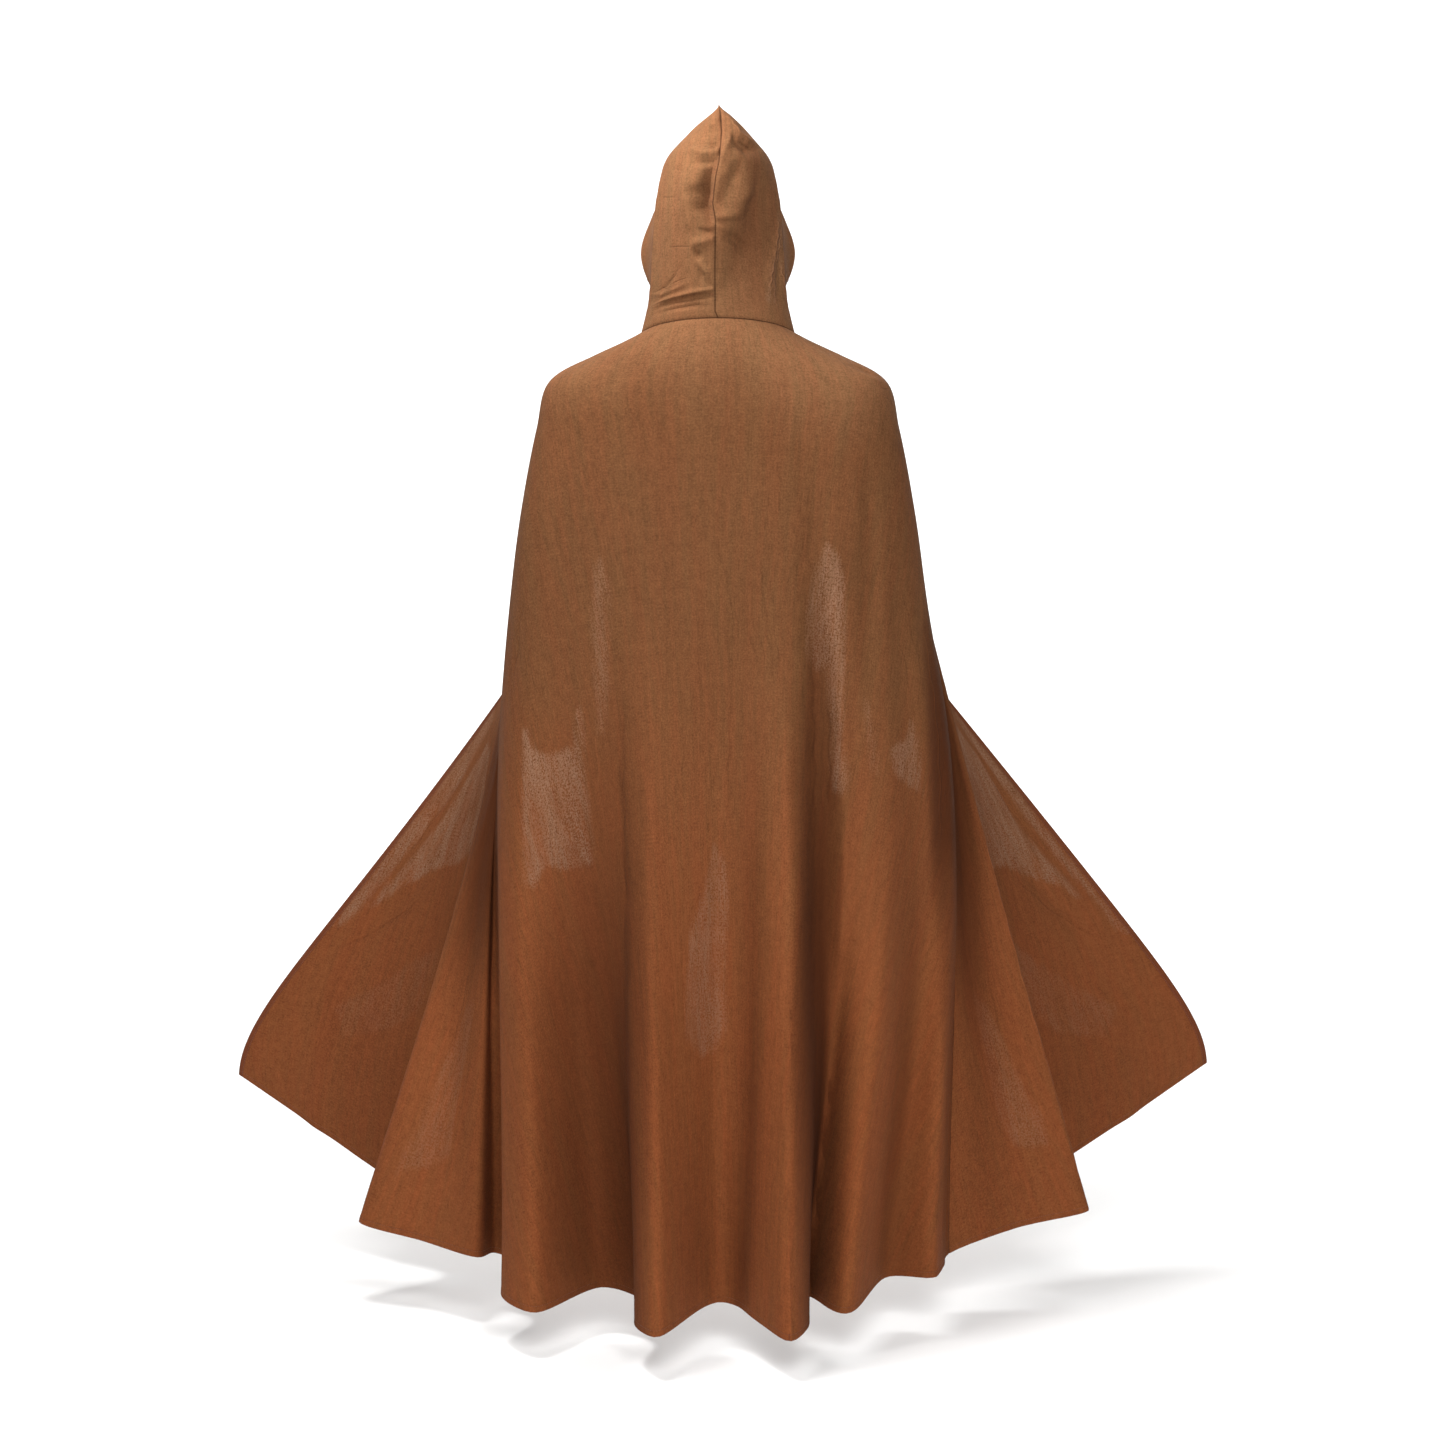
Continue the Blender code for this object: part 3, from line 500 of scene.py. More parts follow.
class CutPiece:
    """A cut piece of cloth on its form, with creases, sheer places, seams and turned hems.

    Its form gives points by shares across and along. The four edges are start and end, across, and top and
    foot, along. Hems gives the turned width of each edge that has a hem, and every other edge is a seam.
    """

    EDGES = ("start", "end", "top", "foot")
    # Long folds go straight back, or "out" from the form.
    FOLDS_RUN = "back"
    # Metres that a turned hem stands up, and that its fold, its stitches, a seam and the neck edge pull in.
    HEM_RISE, FOLD_ROLL, STITCH_DENT, SEAM_DENT, NECK_ROLL = 0.0003, 0.0004, 0.0003, 0.0011, 0.0013
    # Metres over which folds and creases die out towards a seam.
    SEAM_SOFT = 0.007
    # Metres from a hem's turned edge to its stitches, and a stitch's length, pitch and thickness.
    STITCH_IN, STITCH, STITCH_PITCH, THREAD = 0.0016, 0.0026, 0.0034, 0.00022
    # Painted shade: how much deeper in colour a turned hem is painted than one layer, as two layers let
    # less light through, down the sides and along the foot.
    EDGE_TONE, FOOT_TONE = 1.0, 0.15
    # Metres past which a seam or a pressed line doesn't show.
    FAR_FROM_SEAM, FAR_FROM_LINE = 0.02, 0.01
    # Metres from a seam, from a hem's fold and from its turned edge at which the mesh has lines of its own.
    SEAM_LINES = (0.0, 0.0006, 0.0016, 0.003)
    FOLD_LINES = (0.0, 0.0008, 0.002)
    TURNED_LINES = (-0.0026, -0.0016, -0.0006, 0.001, 0.003)
    # Distances from an edge are known this share in from it, by so many samples along it and in from it,
    # which crowd towards it.
    REACH, RUNS, ROWS, CROWDING = 0.12, 121, 33, 1.5

    def __init__(self, name, form, span, flips, girths, length, relief, hems, cut):
        self.name, self.form, self.flips = name, form, flips
        self.first, self.last = span
        self.girths, self.length = girths, length
        self.relief, self.hems, self.cut = relief, hems, cut
        self.pieces = []
        self.run = np.linspace(0, 1, self.RUNS)
        self.inward = self.REACH * np.linspace(0, 1, self.ROWS) ** self.CROWDING
        self.depths = {}
        for edge in self.EDGES:
            lines = np.stack([form(*self.in_from(edge, self.run, share)) for share in self.inward])
            steps = np.linalg.norm(np.diff(lines, axis=0), axis=2)
            self.depths[edge] = np.concatenate([np.zeros((1, self.RUNS)), np.cumsum(steps, axis=0)])

    def in_from(self, edge, run, share):
        """Shares across and down at these shares of an edge's run and this share in from the edge."""
        share = share + 0 * run
        if edge in ("start", "end"):
            return (self.first + share if edge == "start" else self.last - share), run
        return self.first + (self.last - self.first) * run, (share if edge == "top" else 1 - share)

    def share_in(self, edge, run, metres):
        """The share in from an edge at which the cloth is so many metres in."""
        shares = [np.interp(metres, depths, self.inward) for depths in self.depths[edge].T]
        return np.interp(run, self.run, shares)

    def from_edge(self, edge, across, down):
        """Metres from this edge, or a metre beyond its reach."""
        share = {
            "start": across - self.first, "end": self.last - across, "top": down, "foot": 1 - down,
        }[edge]
        run = down if edge in ("start", "end") else (across - self.first) / (self.last - self.first)
        row = (np.clip(share, 0, self.REACH) / self.REACH) ** (1 / self.CROWDING) * (self.ROWS - 1)
        column = np.clip(run, 0, 1) * (self.RUNS - 1)
        i = np.minimum(row.astype(int), self.ROWS - 2)
        j = np.minimum(column.astype(int), self.RUNS - 2)
        depths = self.depths[edge]
        near = depths[i, j] + (depths[i, j + 1] - depths[i, j]) * (column - j)
        far = depths[i + 1, j] + (depths[i + 1, j + 1] - depths[i + 1, j]) * (column - j)
        return np.where(share > self.REACH, 1.0, near + (far - near) * (row - i))

    def strayed(self, across, down, girth):
        """Shares across that stray a millimetre or two to each side, so that no fold runs dead straight."""
        slow, quick = 0.0016 * np.sin(31 * down + 40 * across), 0.0010 * np.sin(83 * down + 11)
        return across + (slow + quick) / girth

    def lift(self, across, down):
        """How far creases, hems and seams move the outer face from its form."""
        girth = np.interp(down, *self.girths)
        strayed = self.strayed(across, down, girth)
        total = np.zeros(across.shape)
        for crease in self.relief.creases.values():
            off, share = beside(crease[:4], strayed, down, girth, self.length)
            width = crease.width + (crease.to_width - crease.width) * share
            up, back = share / crease.deepest, (1 - share) / max(1 - crease.deepest, 1e-6)
            total += crease.depth * eased(np.where(share < crease.deepest, up, back)) * bell(off, width)
        for stations in self.relief.ripples.values():
            off, width, depth = beside_run(stations, strayed, down, girth, self.length)
            total += depth * bell(off, width)
        for edge in self.EDGES:
            off = self.from_edge(edge, across, down)
            if edge in self.hems:
                layers = self.HEM_RISE * (1 - eased((off / self.hems[edge] - 0.8) / 0.35))
                total += layers - self.FOLD_ROLL * np.exp(-((off / 0.0010) ** 2))
                from_stitches = off - self.hems[edge] + self.STITCH_IN
                total -= self.STITCH_DENT * np.exp(-((from_stitches / 0.0009) ** 2))
            else:
                total *= eased(off / self.SEAM_SOFT)
        for edge in self.EDGES:
            if edge not in self.hems and edge != "top":
                off = self.from_edge(edge, across, down)
                pucker = 1 + 0.35 * np.sin(across * girth * 900) * np.sin(down * self.length * 900)
                total -= self.SEAM_DENT * pucker * np.exp(-((off / 0.0020) ** 2))
        return total

    def sink(self, across, down):
        """How far long folds move the outer face, the way that FOLDS_RUN says."""
        strayed = self.strayed(across, down, np.interp(down, *self.girths))
        total = np.zeros(across.shape)
        for fold in self.relief.folds.values():
            within, depth = self.beside_fold(fold, strayed, down)
            total += depth * within
        for edge in self.EDGES:
            if edge not in self.hems:
                total *= eased(self.from_edge(edge, across, down) / self.SEAM_SOFT)
        return total

    def facing(self, surface, across, down):
        """Unit normals of a surface of this piece, outwards."""
        nudge = 4e-4
        before, beyond = np.clip(across - nudge, 0, 1), np.clip(across + nudge, 0, 1)
        above, below = np.clip(down - nudge, 0, 1), np.clip(down + nudge, 0, 1)
        sideways = surface(beyond, down) - surface(before, down)
        lengthways = surface(across, below) - surface(across, above)
        normals = np.cross(lengthways, sideways) * self.flips
        return normals / np.maximum(np.linalg.norm(normals, axis=1, keepdims=True), 1e-12)

    def at(self, across, down):
        """Points of the finished outer face. Every piece's neck edge rolls in towards the neck's middle."""
        out = self.facing(self.form, across, down)
        straight = np.array([0.0, 1.0, 0.0]) if self.FOLDS_RUN == "back" else out
        points = self.form(across, down) + out * self.lift(across, down)[:, None]
        points += straight * self.sink(across, down)[:, None]
        pucker = 1 + 0.3 * np.sin(700 * points[:, 0]) * np.sin(650 * points[:, 1])
        roll = self.NECK_ROLL * pucker * np.exp(-((self.from_edge("top", across, down) / 0.0022) ** 2))
        outward = points[:, :2] / np.linalg.norm(points[:, :2], axis=1, keepdims=True)
        points[:, :2] -= outward * roll[:, None]
        return points

    def sheerness(self, across, down):
        """Metres that each point lies inside its nearest sheer place, and how strongly that place shows."""
        depth, strength = np.full(across.shape, -0.05), np.zeros(across.shape)
        for place in self.relief.sheer.values():
            outline = np.array(place.outline)
            scale = np.interp(outline[:, 1].mean(), *self.girths), self.length
            inside = inside_by(outline * scale, np.stack([across, down], axis=1) * scale)
            strength = np.where(inside > depth, place.strength, strength)
            depth = np.maximum(inside, depth)
        return depth, strength

    def beside_fold(self, fold, across, down):
        """How far into a long fold each point is, from 1 on its line to 0, and the fold's depth there."""
        stations = np.array(fold.stations)
        middle, before, after, depth = (
            np.interp(down, stations[:, 0], stations[:, column]) for column in range(1, 5)
        )
        off = (across - middle) * np.interp(down, *self.girths)
        return np.exp(-0.5 * (np.abs(off) / np.where(off < 0, before, after)) ** fold.square), depth

    def fold_shade_share(self, across, down):
        """How strongly painted shade darkens each point deep in a fold, from 0 to 1."""
        sunk = np.zeros(across.shape)
        for fold in self.relief.deep.values():
            within, share = self.beside_fold(fold, across, down)
            sunk = np.maximum(sunk, within * share)
        return sunk

    def pressed(self, across, down, lines):
        """Metres to the nearest pressed line, signed by side and scaled to its width, and its depth."""
        girth = np.interp(down, *self.girths)
        strayed = across + 0.0016 * np.sin(140 * down + 30 * across) / girth
        nearest, depth = np.full(across.shape, self.FAR_FROM_LINE), np.zeros(across.shape)
        for line in lines:
            off, share = beside(line[:4], strayed, down, girth, self.length)
            run = (line.to_across - line.across) * girth, (line.to_down - line.down) * self.length
            side = run[0] * (down - line.down) * self.length - run[1] * (strayed - line.across) * girth
            nearer = off < np.abs(nearest)
            nearest = np.where(nearer, np.where(side < 0, -off, off) * 0.002 / line.half, nearest)
            depth = np.where(nearer, line.depth * eased(4 * share) * eased(4 * (1 - share)), depth)
        return nearest, depth

    def hemmed(self, across, down):
        """How much painted shade each point takes for the hem behind it, where two layers let less light
        through.
        """
        total = np.zeros(across.shape)
        for edge, width in self.hems.items():
            inside = 1 - eased((self.from_edge(edge, across, down) - width + 0.0006) / 0.0012)
            total = np.maximum(total, inside * (self.FOOT_TONE if edge == "foot" else self.EDGE_TONE))
        return total

    def places(self, columns, rows):
        """The grid's shares across and down, with closer lines along every edge."""
        near = {edge: self.SEAM_LINES for edge in self.EDGES}
        for edge, width in self.hems.items():
            near[edge] = (*self.FOLD_LINES, *(width + off for off in self.TURNED_LINES))
        run = np.linspace(0, 1, len(near["start"]) + len(near["end"]) + columns - 2)
        top = np.stack([self.share_in("top", run, metres) for metres in near["top"]])
        foot = 1 - np.stack([self.share_in("foot", run, metres) for metres in near["foot"][::-1]])
        steps = np.linspace(0, 1, rows)[:, None]
        down = np.concatenate([top[:-1], top[-1] + (foot[0] - top[-1]) * steps, foot[1:]])
        across = []
        for row in down:
            left, right = (
                np.array([self.share_in(edge, share, metres) for metres, share in zip(near[edge], shares)])
                for edge, shares in (("start", row), ("end", row[::-1]))
            )
            left, right = self.first + left, self.last - right
            middle = self.crowd(left[-1], right[-1], columns, row.mean())
            across.append(np.concatenate([left[:-1], middle, right[-2::-1]]))
        return np.array(across), down

    def crowd(self, first, last, columns, down):
        """Columns from one share to another, up to four times closer along the deepest folds."""
        run = np.linspace(first, last, 5 * columns)
        weight = np.ones(run.shape)
        for fold in self.relief.folds.values():
            stations = np.array(fold.stations)
            if stations[:, 4].min() < -0.015:
                middle = np.interp(down, stations[:, 0], stations[:, 1])
                off = (run - middle) * np.interp(down, *self.girths)
                weight += 3.0 * np.exp(-((off / 0.024) ** 2))
        total = np.concatenate([[0.0], np.cumsum(weight[1:] + weight[:-1])])
        return np.interp(np.linspace(0, total[-1], columns), total, run)

    def settle(self, points):
        """Keeps points where the piece may be."""
        return points

    def flat(self, across, down):
        """Where each place lies on the flat cut, in metres."""
        angle = self.cut.spread * ((across - self.first) / (self.last - self.first) - 0.5)
        radius = self.cut.neck_radius + down * self.length
        return np.stack([radius * np.sin(angle), radius * np.cos(angle)], axis=1)

    def keep(self, name, mesh, finish):
        """A named object of this piece, with its finish, that rides on the cloak."""
        mesh.materials.append(finish)
        made = bpy.data.objects.new(name, mesh)
        bpy.context.scene.collection.objects.link(made)
        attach(made, "root")
        return made

    def make(self, columns, rows, finish):
        """The piece as a closed thin shell on a grid of this many columns and rows."""
        across, down = self.places(columns, rows)
        shape = across.shape
        across, down = across.ravel(), down.ravel()
        outer = self.at(across, down)
        inner = outer - self.facing(self.at, across, down) * CLOTH
        outer, inner = self.settle(outer), self.settle(inner)
        count = len(outer)
        index = np.arange(count).reshape(shape)
        quads = np.stack([index[:-1, :-1], index[1:, :-1], index[1:, 1:], index[:-1, 1:]], axis=-1)
        quads = quads.reshape(-1, 4)
        border = np.concatenate([index[:-1, 0], index[-1, :-1], index[:0:-1, -1], index[0, :0:-1]])
        onward = np.roll(border, -1)
        rim = np.stack([onward, border, border + count, onward + count], axis=1)
        faces = np.concatenate([quads, quads[:, ::-1] + count, rim])
        if self.flips < 0:
            faces = faces[:, ::-1]
        mesh = bpy.data.meshes.new(self.name)
        mesh.from_pydata(np.concatenate([outer, inner]).tolist(), [], faces.tolist())
        lay_flat(mesh, np.tile(self.flat(across, down), (2, 1)))
        self.paint(mesh, across, down)
        mesh.shade_smooth()
        mesh.set_sharp_from_angle(angle=math.radians(60))
        return self.keep(self.name + "_cloth", mesh, finish)

    def paint(self, mesh, across, down):
        """Gives the points of both faces the values that the cloth's material reads."""
        sheer_depth, strength = self.sheerness(across, down)
        seams = [edge for edge in self.EDGES if edge not in self.hems]
        seam = np.min([self.from_edge(edge, across, down) for edge in seams], axis=0)
        lines = list(self.relief.lines.values())
        off_one, deep_one = self.pressed(across, down, lines[::2])
        off_two, deep_two = self.pressed(across, down, lines[1::2])
        for label, values in {
            "sheer_depth": sheer_depth,
            "sheer_strength": strength,
            "turned": self.hemmed(across, down),
            "seam": np.minimum(seam, self.FAR_FROM_SEAM),
            # The painted shade deep in folds.
            "sunk": self.fold_shade_share(across, down),
            "line_one": off_one,
            "deep_one": deep_one,
            "line_two": off_two,
            "deep_two": deep_two,
        }.items():
            store(mesh, label, np.tile(values, 2))

    def along(self, edge, offset, spacing):
        """Shares across and down along an edge, this far in from it and about this far apart."""
        run = np.linspace(0, 1, 1200)
        across, down = self.in_from(edge, run, self.share_in(edge, run, offset))
        lengths = lengths_along(self.form(across, down))
        even = np.linspace(0, lengths[-1], max(3, round(lengths[-1] / spacing)))
        return np.interp(even, lengths, across), np.interp(even, lengths, down)

    def band(self, edge, width, finish, thick=0.0009, spacing=0.008):
        """The layers turned under at an edge, or a seam's allowance: a flat band on the inner face."""
        profile = (
            (0.0003, 0.0001), (0.0002, 0.5 * thick), (0.0009, thick), (width - 0.0008, thick),
            (width, 0.5 * thick), (width - 0.0002, 0.0001),
        )
        rings = []
        for inward, deep in profile:
            across, down = self.along(edge, inward, spacing)
            if rings:
                own, shared = np.linspace(0, 1, len(across)), np.linspace(0, 1, len(rings[0]))
                across, down = np.interp(shared, own, across), np.interp(shared, own, down)
            inner = self.at(across, down) - self.facing(self.at, across, down) * (CLOTH + deep)
            rings.append(self.settle(inner))
        rings = np.stack(rings, axis=1)
        steps, sides = rings.shape[:2]
        index = np.arange(steps * sides).reshape(steps, sides)
        beyond = np.roll(index, -1, axis=1)
        quads = np.stack([index[:-1], beyond[:-1], beyond[1:], index[1:]], axis=-1).reshape(-1, 4).tolist()
        ends = [index[0, ::-1].tolist(), index[-1].tolist()]
        mesh = bpy.data.meshes.new(self.name + edge)
        mesh.from_pydata(rings.reshape(-1, 3).tolist(), [], quads + ends)
        lengthways = np.repeat(np.arange(steps) * spacing, sides)
        lay_flat(mesh, np.stack([lengthways, np.tile([inward for inward, deep in profile], steps)], axis=1))
        for label, value in {
            "turned": self.EDGE_TONE,
            "seam": self.FAR_FROM_SEAM,
            "line_one": self.FAR_FROM_LINE,
            "line_two": self.FAR_FROM_LINE,
        }.items():
            store(mesh, label, np.full(steps * sides, value))
        face_out(mesh)
        mesh.shade_smooth()
        mesh.set_sharp_from_angle(angle=math.radians(50))
        self.pieces.append(self.keep(f"{self.name}_{edge}_turning", mesh, finish))

    def stitching(self, edge, inward, finish):
        """A row of lockstitches on the outer face, this far in from an edge."""
        across, down = self.along(edge, inward, self.STITCH_PITCH)
        middle = self.settle(self.at(across, down))
        out = self.facing(self.at, across, down)
        onward = np.gradient(middle, axis=0)
        onward /= np.linalg.norm(onward, axis=1, keepdims=True)
        over = np.cross(out, onward)
        middle, out, onward, over = (x[1:-1] for x in (middle, out, onward, over))
        half, sunk = onward * self.STITCH / 2, out * self.THREAD * 0.5
        corners = [middle - half - sunk, middle + half - sunk]
        for end in (-0.32, 0.32):
            for side, high in ((1, 0.2), (0.5, 1.1), (-0.5, 1.1), (-1, 0.2)):
                place = middle + onward * self.STITCH * end
                corners.append(place + over * self.THREAD * side + out * self.THREAD * high)
        points = np.stack(corners, axis=1)
        faces = [(0, 3, 2), (0, 4, 3), (0, 5, 4), (0, 2, 5), (1, 6, 7), (1, 7, 8), (1, 8, 9), (1, 9, 6)]
        faces += [(2, 3, 7, 6), (3, 4, 8, 7), (4, 5, 9, 8), (5, 2, 6, 9)]
        made = [[corner + 10 * k for corner in face] for k in range(len(points)) for face in faces]
        mesh = bpy.data.meshes.new(self.name + edge + "stitches")
        mesh.from_pydata(points.reshape(-1, 3).tolist(), [], made)
        face_out(mesh)
        mesh.shade_smooth()
        self.pieces.append(self.keep(f"{self.name}_{edge}_stitches", mesh, finish))


def lay_flat(mesh, places):
    """Keeps where each point lies on the flat cut, in metres, as the mesh's UV map."""
    corners = np.zeros(len(mesh.loops), int)
    mesh.loops.foreach_get("vertex_index", corners)
    mesh.uv_layers.new(name="cut").uv.foreach_set("vector", places[corners].ravel())


def store(mesh, label, values):
    """Keeps a value for each point of a mesh."""
    mesh.attributes.new(label, "FLOAT", "POINT").data.foreach_set("value", values)


def face_out(mesh):
    """Turns a closed mesh so that its faces point outwards."""
    mesh.calc_loop_triangles()
    points = np.array([vertex.co for vertex in mesh.vertices])
    triangles = np.array([triangle.vertices for triangle in mesh.loop_triangles])
    a, b, c = (points[triangles[:, k]] for k in range(3))
    if (a * np.cross(b, c)).sum() < 0:
        mesh.flip_normals()


class Wire:
    """One output of a shader node. Sums and products of wires add the Math nodes that work them out."""

    def __init__(self, tree, socket=None):
        self.tree, self.socket = tree, socket

    def node(self, kind, settings=None, inputs=None, output=0):
        """A new node with these settings, and with these values or wires on its sockets."""
        made = self.tree.nodes.new(kind)
        for name, value in (settings or {}).items():
            setattr(made, name, value)
        for key, value in (inputs or {}).items():
            if isinstance(value, Wire):
                self.tree.links.new(value.socket, made.inputs[key])
            else:
                made.inputs[key].default_value = value
        return Wire(self.tree, made.outputs[output])

    def feed(self, shader, name):
        """Links this wire to a socket of the shader."""
        self.tree.links.new(self.socket, shader.inputs[name])

    def painted(self, name):
        """A value that the mesh keeps for each of its points."""
        return self.node("ShaderNodeAttribute", {"attribute_name": name}, None, 2)

    def maths(self, operation, first, second=0.0):
        """A Math node on values or wires."""
        return self.node("ShaderNodeMath", {"operation": operation}, {0: first, 1: second})

    def __add__(self, other):
        return self.maths("ADD", self, other)

    __radd__ = __add__

    def __sub__(self, other):
        return self.maths("SUBTRACT", self, other)

    def __rsub__(self, other):
        return self.maths("SUBTRACT", other, self)

    def __mul__(self, other):
        return self.maths("MULTIPLY", self, other)

    __rmul__ = __mul__

    def between(self, low, high, smooth="SMOOTHSTEP"):
        """0 below low, 1 above high, and soft between them."""
        steps = {0: self, 1: low, 2: high, 3: 0.0, 4: 1.0}
        return self.node("ShaderNodeMapRange", {"interpolation_type": smooth}, steps)

    def blend(self, first, second):
        """The first colour where this is 0 and the second where it is 1."""
        return self.node("ShaderNodeMix", {"data_type": "RGBA"}, {0: self, 6: first, 7: second}, 2)

    def tinted(self, tint):
        """This colour times another."""
        settings = {"data_type": "RGBA", "blend_type": "MULTIPLY"}
        return self.node("ShaderNodeMix", settings, {0: 1.0, 6: self, 7: tint}, 2)

    def noise(self, across, along, detail=2.0, roughness=0.5):
        """Noise on this wire's coordinates, with so many features to the metre each way."""
        stretched = self.node("ShaderNodeMapping", None, {"Vector": self, "Scale": (across, along, along)})
        return self.node("ShaderNodeTexNoise", None, {
            "Vector": stretched, "Scale": 1.0, "Detail": detail, "Roughness": roughness,
        })


def new_finish(name):
    """A new material, its shader and a wire to start from."""
    made = bpy.data.materials.new(name)
    made.use_nodes = True
    return made, made.node_tree.nodes["Principled BSDF"], Wire(made.node_tree)


HOOD_BROWN = (0.168, 0.075, 0.033, 1.0)
UPPER_BROWN = (0.116, 0.046, 0.0180, 1.0)
LOWER_RUST = (0.180, 0.055, 0.0185, 1.0)
SHEER_GREY = (0.235, 0.128, 0.078, 1.0)
OLIVE_TINT = (0.98, 1.03, 1.02, 1.0)
RED_TINT = (1.02, 0.96, 0.95, 1.0)
DEEP_SHADE = (0.046, 0.012, 0.004, 1.0)
SEAM_SHADE = (0.030, 0.011, 0.005, 1.0)
TURNED_RUST = (0.105, 0.030, 0.016, 1.0)
PALE_NAP = (0.95, 0.80, 0.66, 1.0)
# Heights in metres over which the upper tone goes into the hood's and the hem's.
TO_HOOD, TO_HEM = (-0.16, 0.0), (-0.30, -1.05)
THREADS_TO_THE_METRE = 1150


def tone_and_line_shade(place, cut, fleck, slubs, lines):
    """A tone warmer towards the hem, streaked along the threads and blotched by slubs, with painted
    highlight and shade on pressed lines.
    """
    height = place.node("ShaderNodeSeparateXYZ", None, {0: place}, 2)
    cloud = place.noise(3.2, 1.7)
    streak, thin_streak = cut.noise(34, 3.0, 3.0, 0.6), cut.noise(150, 9.0, 2.0, 0.6)
    blotch = cut.noise(95, 70, 3.0, 0.65)
    level = height + 0.30 * (cloud - 0.5)
    tone = level.between(*TO_HEM).blend(UPPER_BROWN, LOWER_RUST)
    tone = level.between(*TO_HOOD).blend(tone, HOOD_BROWN)
    tone = tone.tinted((0.6 * streak + 0.4 * thin_streak).between(0.38, 0.62).blend(OLIVE_TINT, RED_TINT))
    mottle_and_line_shade = 1.0 + 0.8 * (slubs - 0.5) + 1.3 * (fleck - 0.5)
    mottle_and_line_shade = mottle_and_line_shade + 0.35 * (cloud - 0.5) + 0.4 * (thin_streak - 0.5)
    # Painted highlight on pressed ridges and painted shade in their grooves.
    mottle_and_line_shade = mottle_and_line_shade + 0.5 * (blotch - 0.5) + 0.22 * lines
    return place.node("ShaderNodeVectorMath", {"operation": "SCALE"}, {0: tone, "Scale": mottle_and_line_shade})


def sheer_share(cut, fleck, warp):
    """How much painted light through the thin cloth shows: ragged at its outline, and speckled by threads
    inside it.
    """
    drift, uneven = cut.noise(75, 9, 2.0, 0.6), cut.noise(34, 9, 2.0, 0.5).between(0.34, 0.60)
    ragged = cut.painted("sheer_depth") + 0.014 * (drift - 0.5) + 0.010 * (fleck - 0.5)
    ragged = ragged.between(-0.006, 0.007)
    speckled = 0.48 + 5.5 * (fleck - 0.5) + 1.8 * (warp - 0.5) + 1.2 * (drift - 0.5)
    speckled = speckled.between(0.0, 1.0, "LINEAR")
    return ragged * cut.painted("sheer_strength") * speckled * (0.5 + 0.5 * uneven)


def pressed_relief(start):
    """The pressed lines of both layers: 1 in the middle of a ridge, -1 in a groove, 0 beside them."""
    layers = []
    for layer in ("one", "two"):
        off = start.painted(f"line_{layer}")
        layers.append(start.painted(f"deep_{layer}") * off.maths("ABSOLUTE", off).between(0.0026, 0.0))
    return layers[0] + layers[1]


def woven_cloth():
    """Matt plain-woven cloth: fine threads with slubs, pressed lines, painted light in sheer places and
    painted shade.
    """
    made, shader, start = new_finish("rust_brown_cloth")
    cut = start.node("ShaderNodeUVMap", {"uv_map": "cut"})
    place = start.node("ShaderNodeTexCoord", None, None, 3)
    warp, weft = cut.noise(620, 46, 3.0, 0.6), cut.noise(52, 560, 2.0, 0.6)
    fleck = cut.noise(360, 320, 3.0, 0.8)
    slubs = 0.5 * warp + 0.3 * weft + 0.2 * fleck
    lines = pressed_relief(start)

    # Painted light: where light shows through the thin cloth, it turns paler and greyer.
    tone = sheer_share(cut, fleck, warp).blend(tone_and_line_shade(place, cut, fleck, slubs, lines), SHEER_GREY)
    # Painted shade: a turned hem is darkened, as two layers let less light through.
    tone = (0.62 * start.painted("turned")).blend(tone, TURNED_RUST)
    # Painted shade: cloth deep in a fold is darkened towards a deep brown.
    tone = (0.80 * start.painted("sunk")).blend(tone, DEEP_SHADE)
    tone = (0.70 * start.painted("seam").between(0.0016, 0.0005)).blend(tone, SEAM_SHADE)
    tone.feed(shader, "Base Color")

    turn = 2 * math.pi * THREADS_TO_THE_METRE
    sides, lengths = (cut.node("ShaderNodeSeparateXYZ", None, {0: cut}, axis) * turn for axis in (0, 1))
    weave = sides.maths("SINE", sides) * lengths.maths("SINE", lengths)
    relief = 0.16 * weave + 1.1 * slubs + 2.0 * cut.noise(170, 12, 3.0, 0.55)
    bump = cut.node("ShaderNodeBump", None, {"Strength": 0.6, "Distance": 0.0007, "Height": relief})
    creased = cut.node("ShaderNodeBump", None, {
        "Strength": 0.8, "Distance": 0.0012, "Height": lines, "Normal": bump,
    })
    creased.feed(shader, "Normal")
    (0.86 + 0.12 * (slubs - 0.5)).feed(shader, "Roughness")
    shader.inputs["Specular IOR Level"].default_value = 0.05
    shader.inputs["Sheen Weight"].default_value = 0.008
    shader.inputs["Sheen Roughness"].default_value = 0.45
    shader.inputs["Sheen Tint"].default_value = PALE_NAP
    return made


def sewing_thread():
    """Twisted polyester thread, a shade darker than the cloth."""
    made, shader, start = new_finish("brown_thread")
    twist = start.node("ShaderNodeTexCoord", None, None, 3).noise(1800, 1800, 2.0, 0.6)
    twist.blend((0.085, 0.028, 0.013, 1.0), (0.170, 0.062, 0.027, 1.0)).feed(shader, "Base Color")
    shader.inputs["Roughness"].default_value = 0.6
    return made


def girths_of(form):
    """Places down a form, and how long the cloth is across at each of them, in metres."""
    places, across = np.linspace(0, 1, 41), np.linspace(0, 1, 700)
    return places, np.array([lengths_along(form(across, 0 * across + place))[-1] for place in places])


cloth, thread = woven_cloth(), sewing_thread()
body_girths = girths_of(body_at)
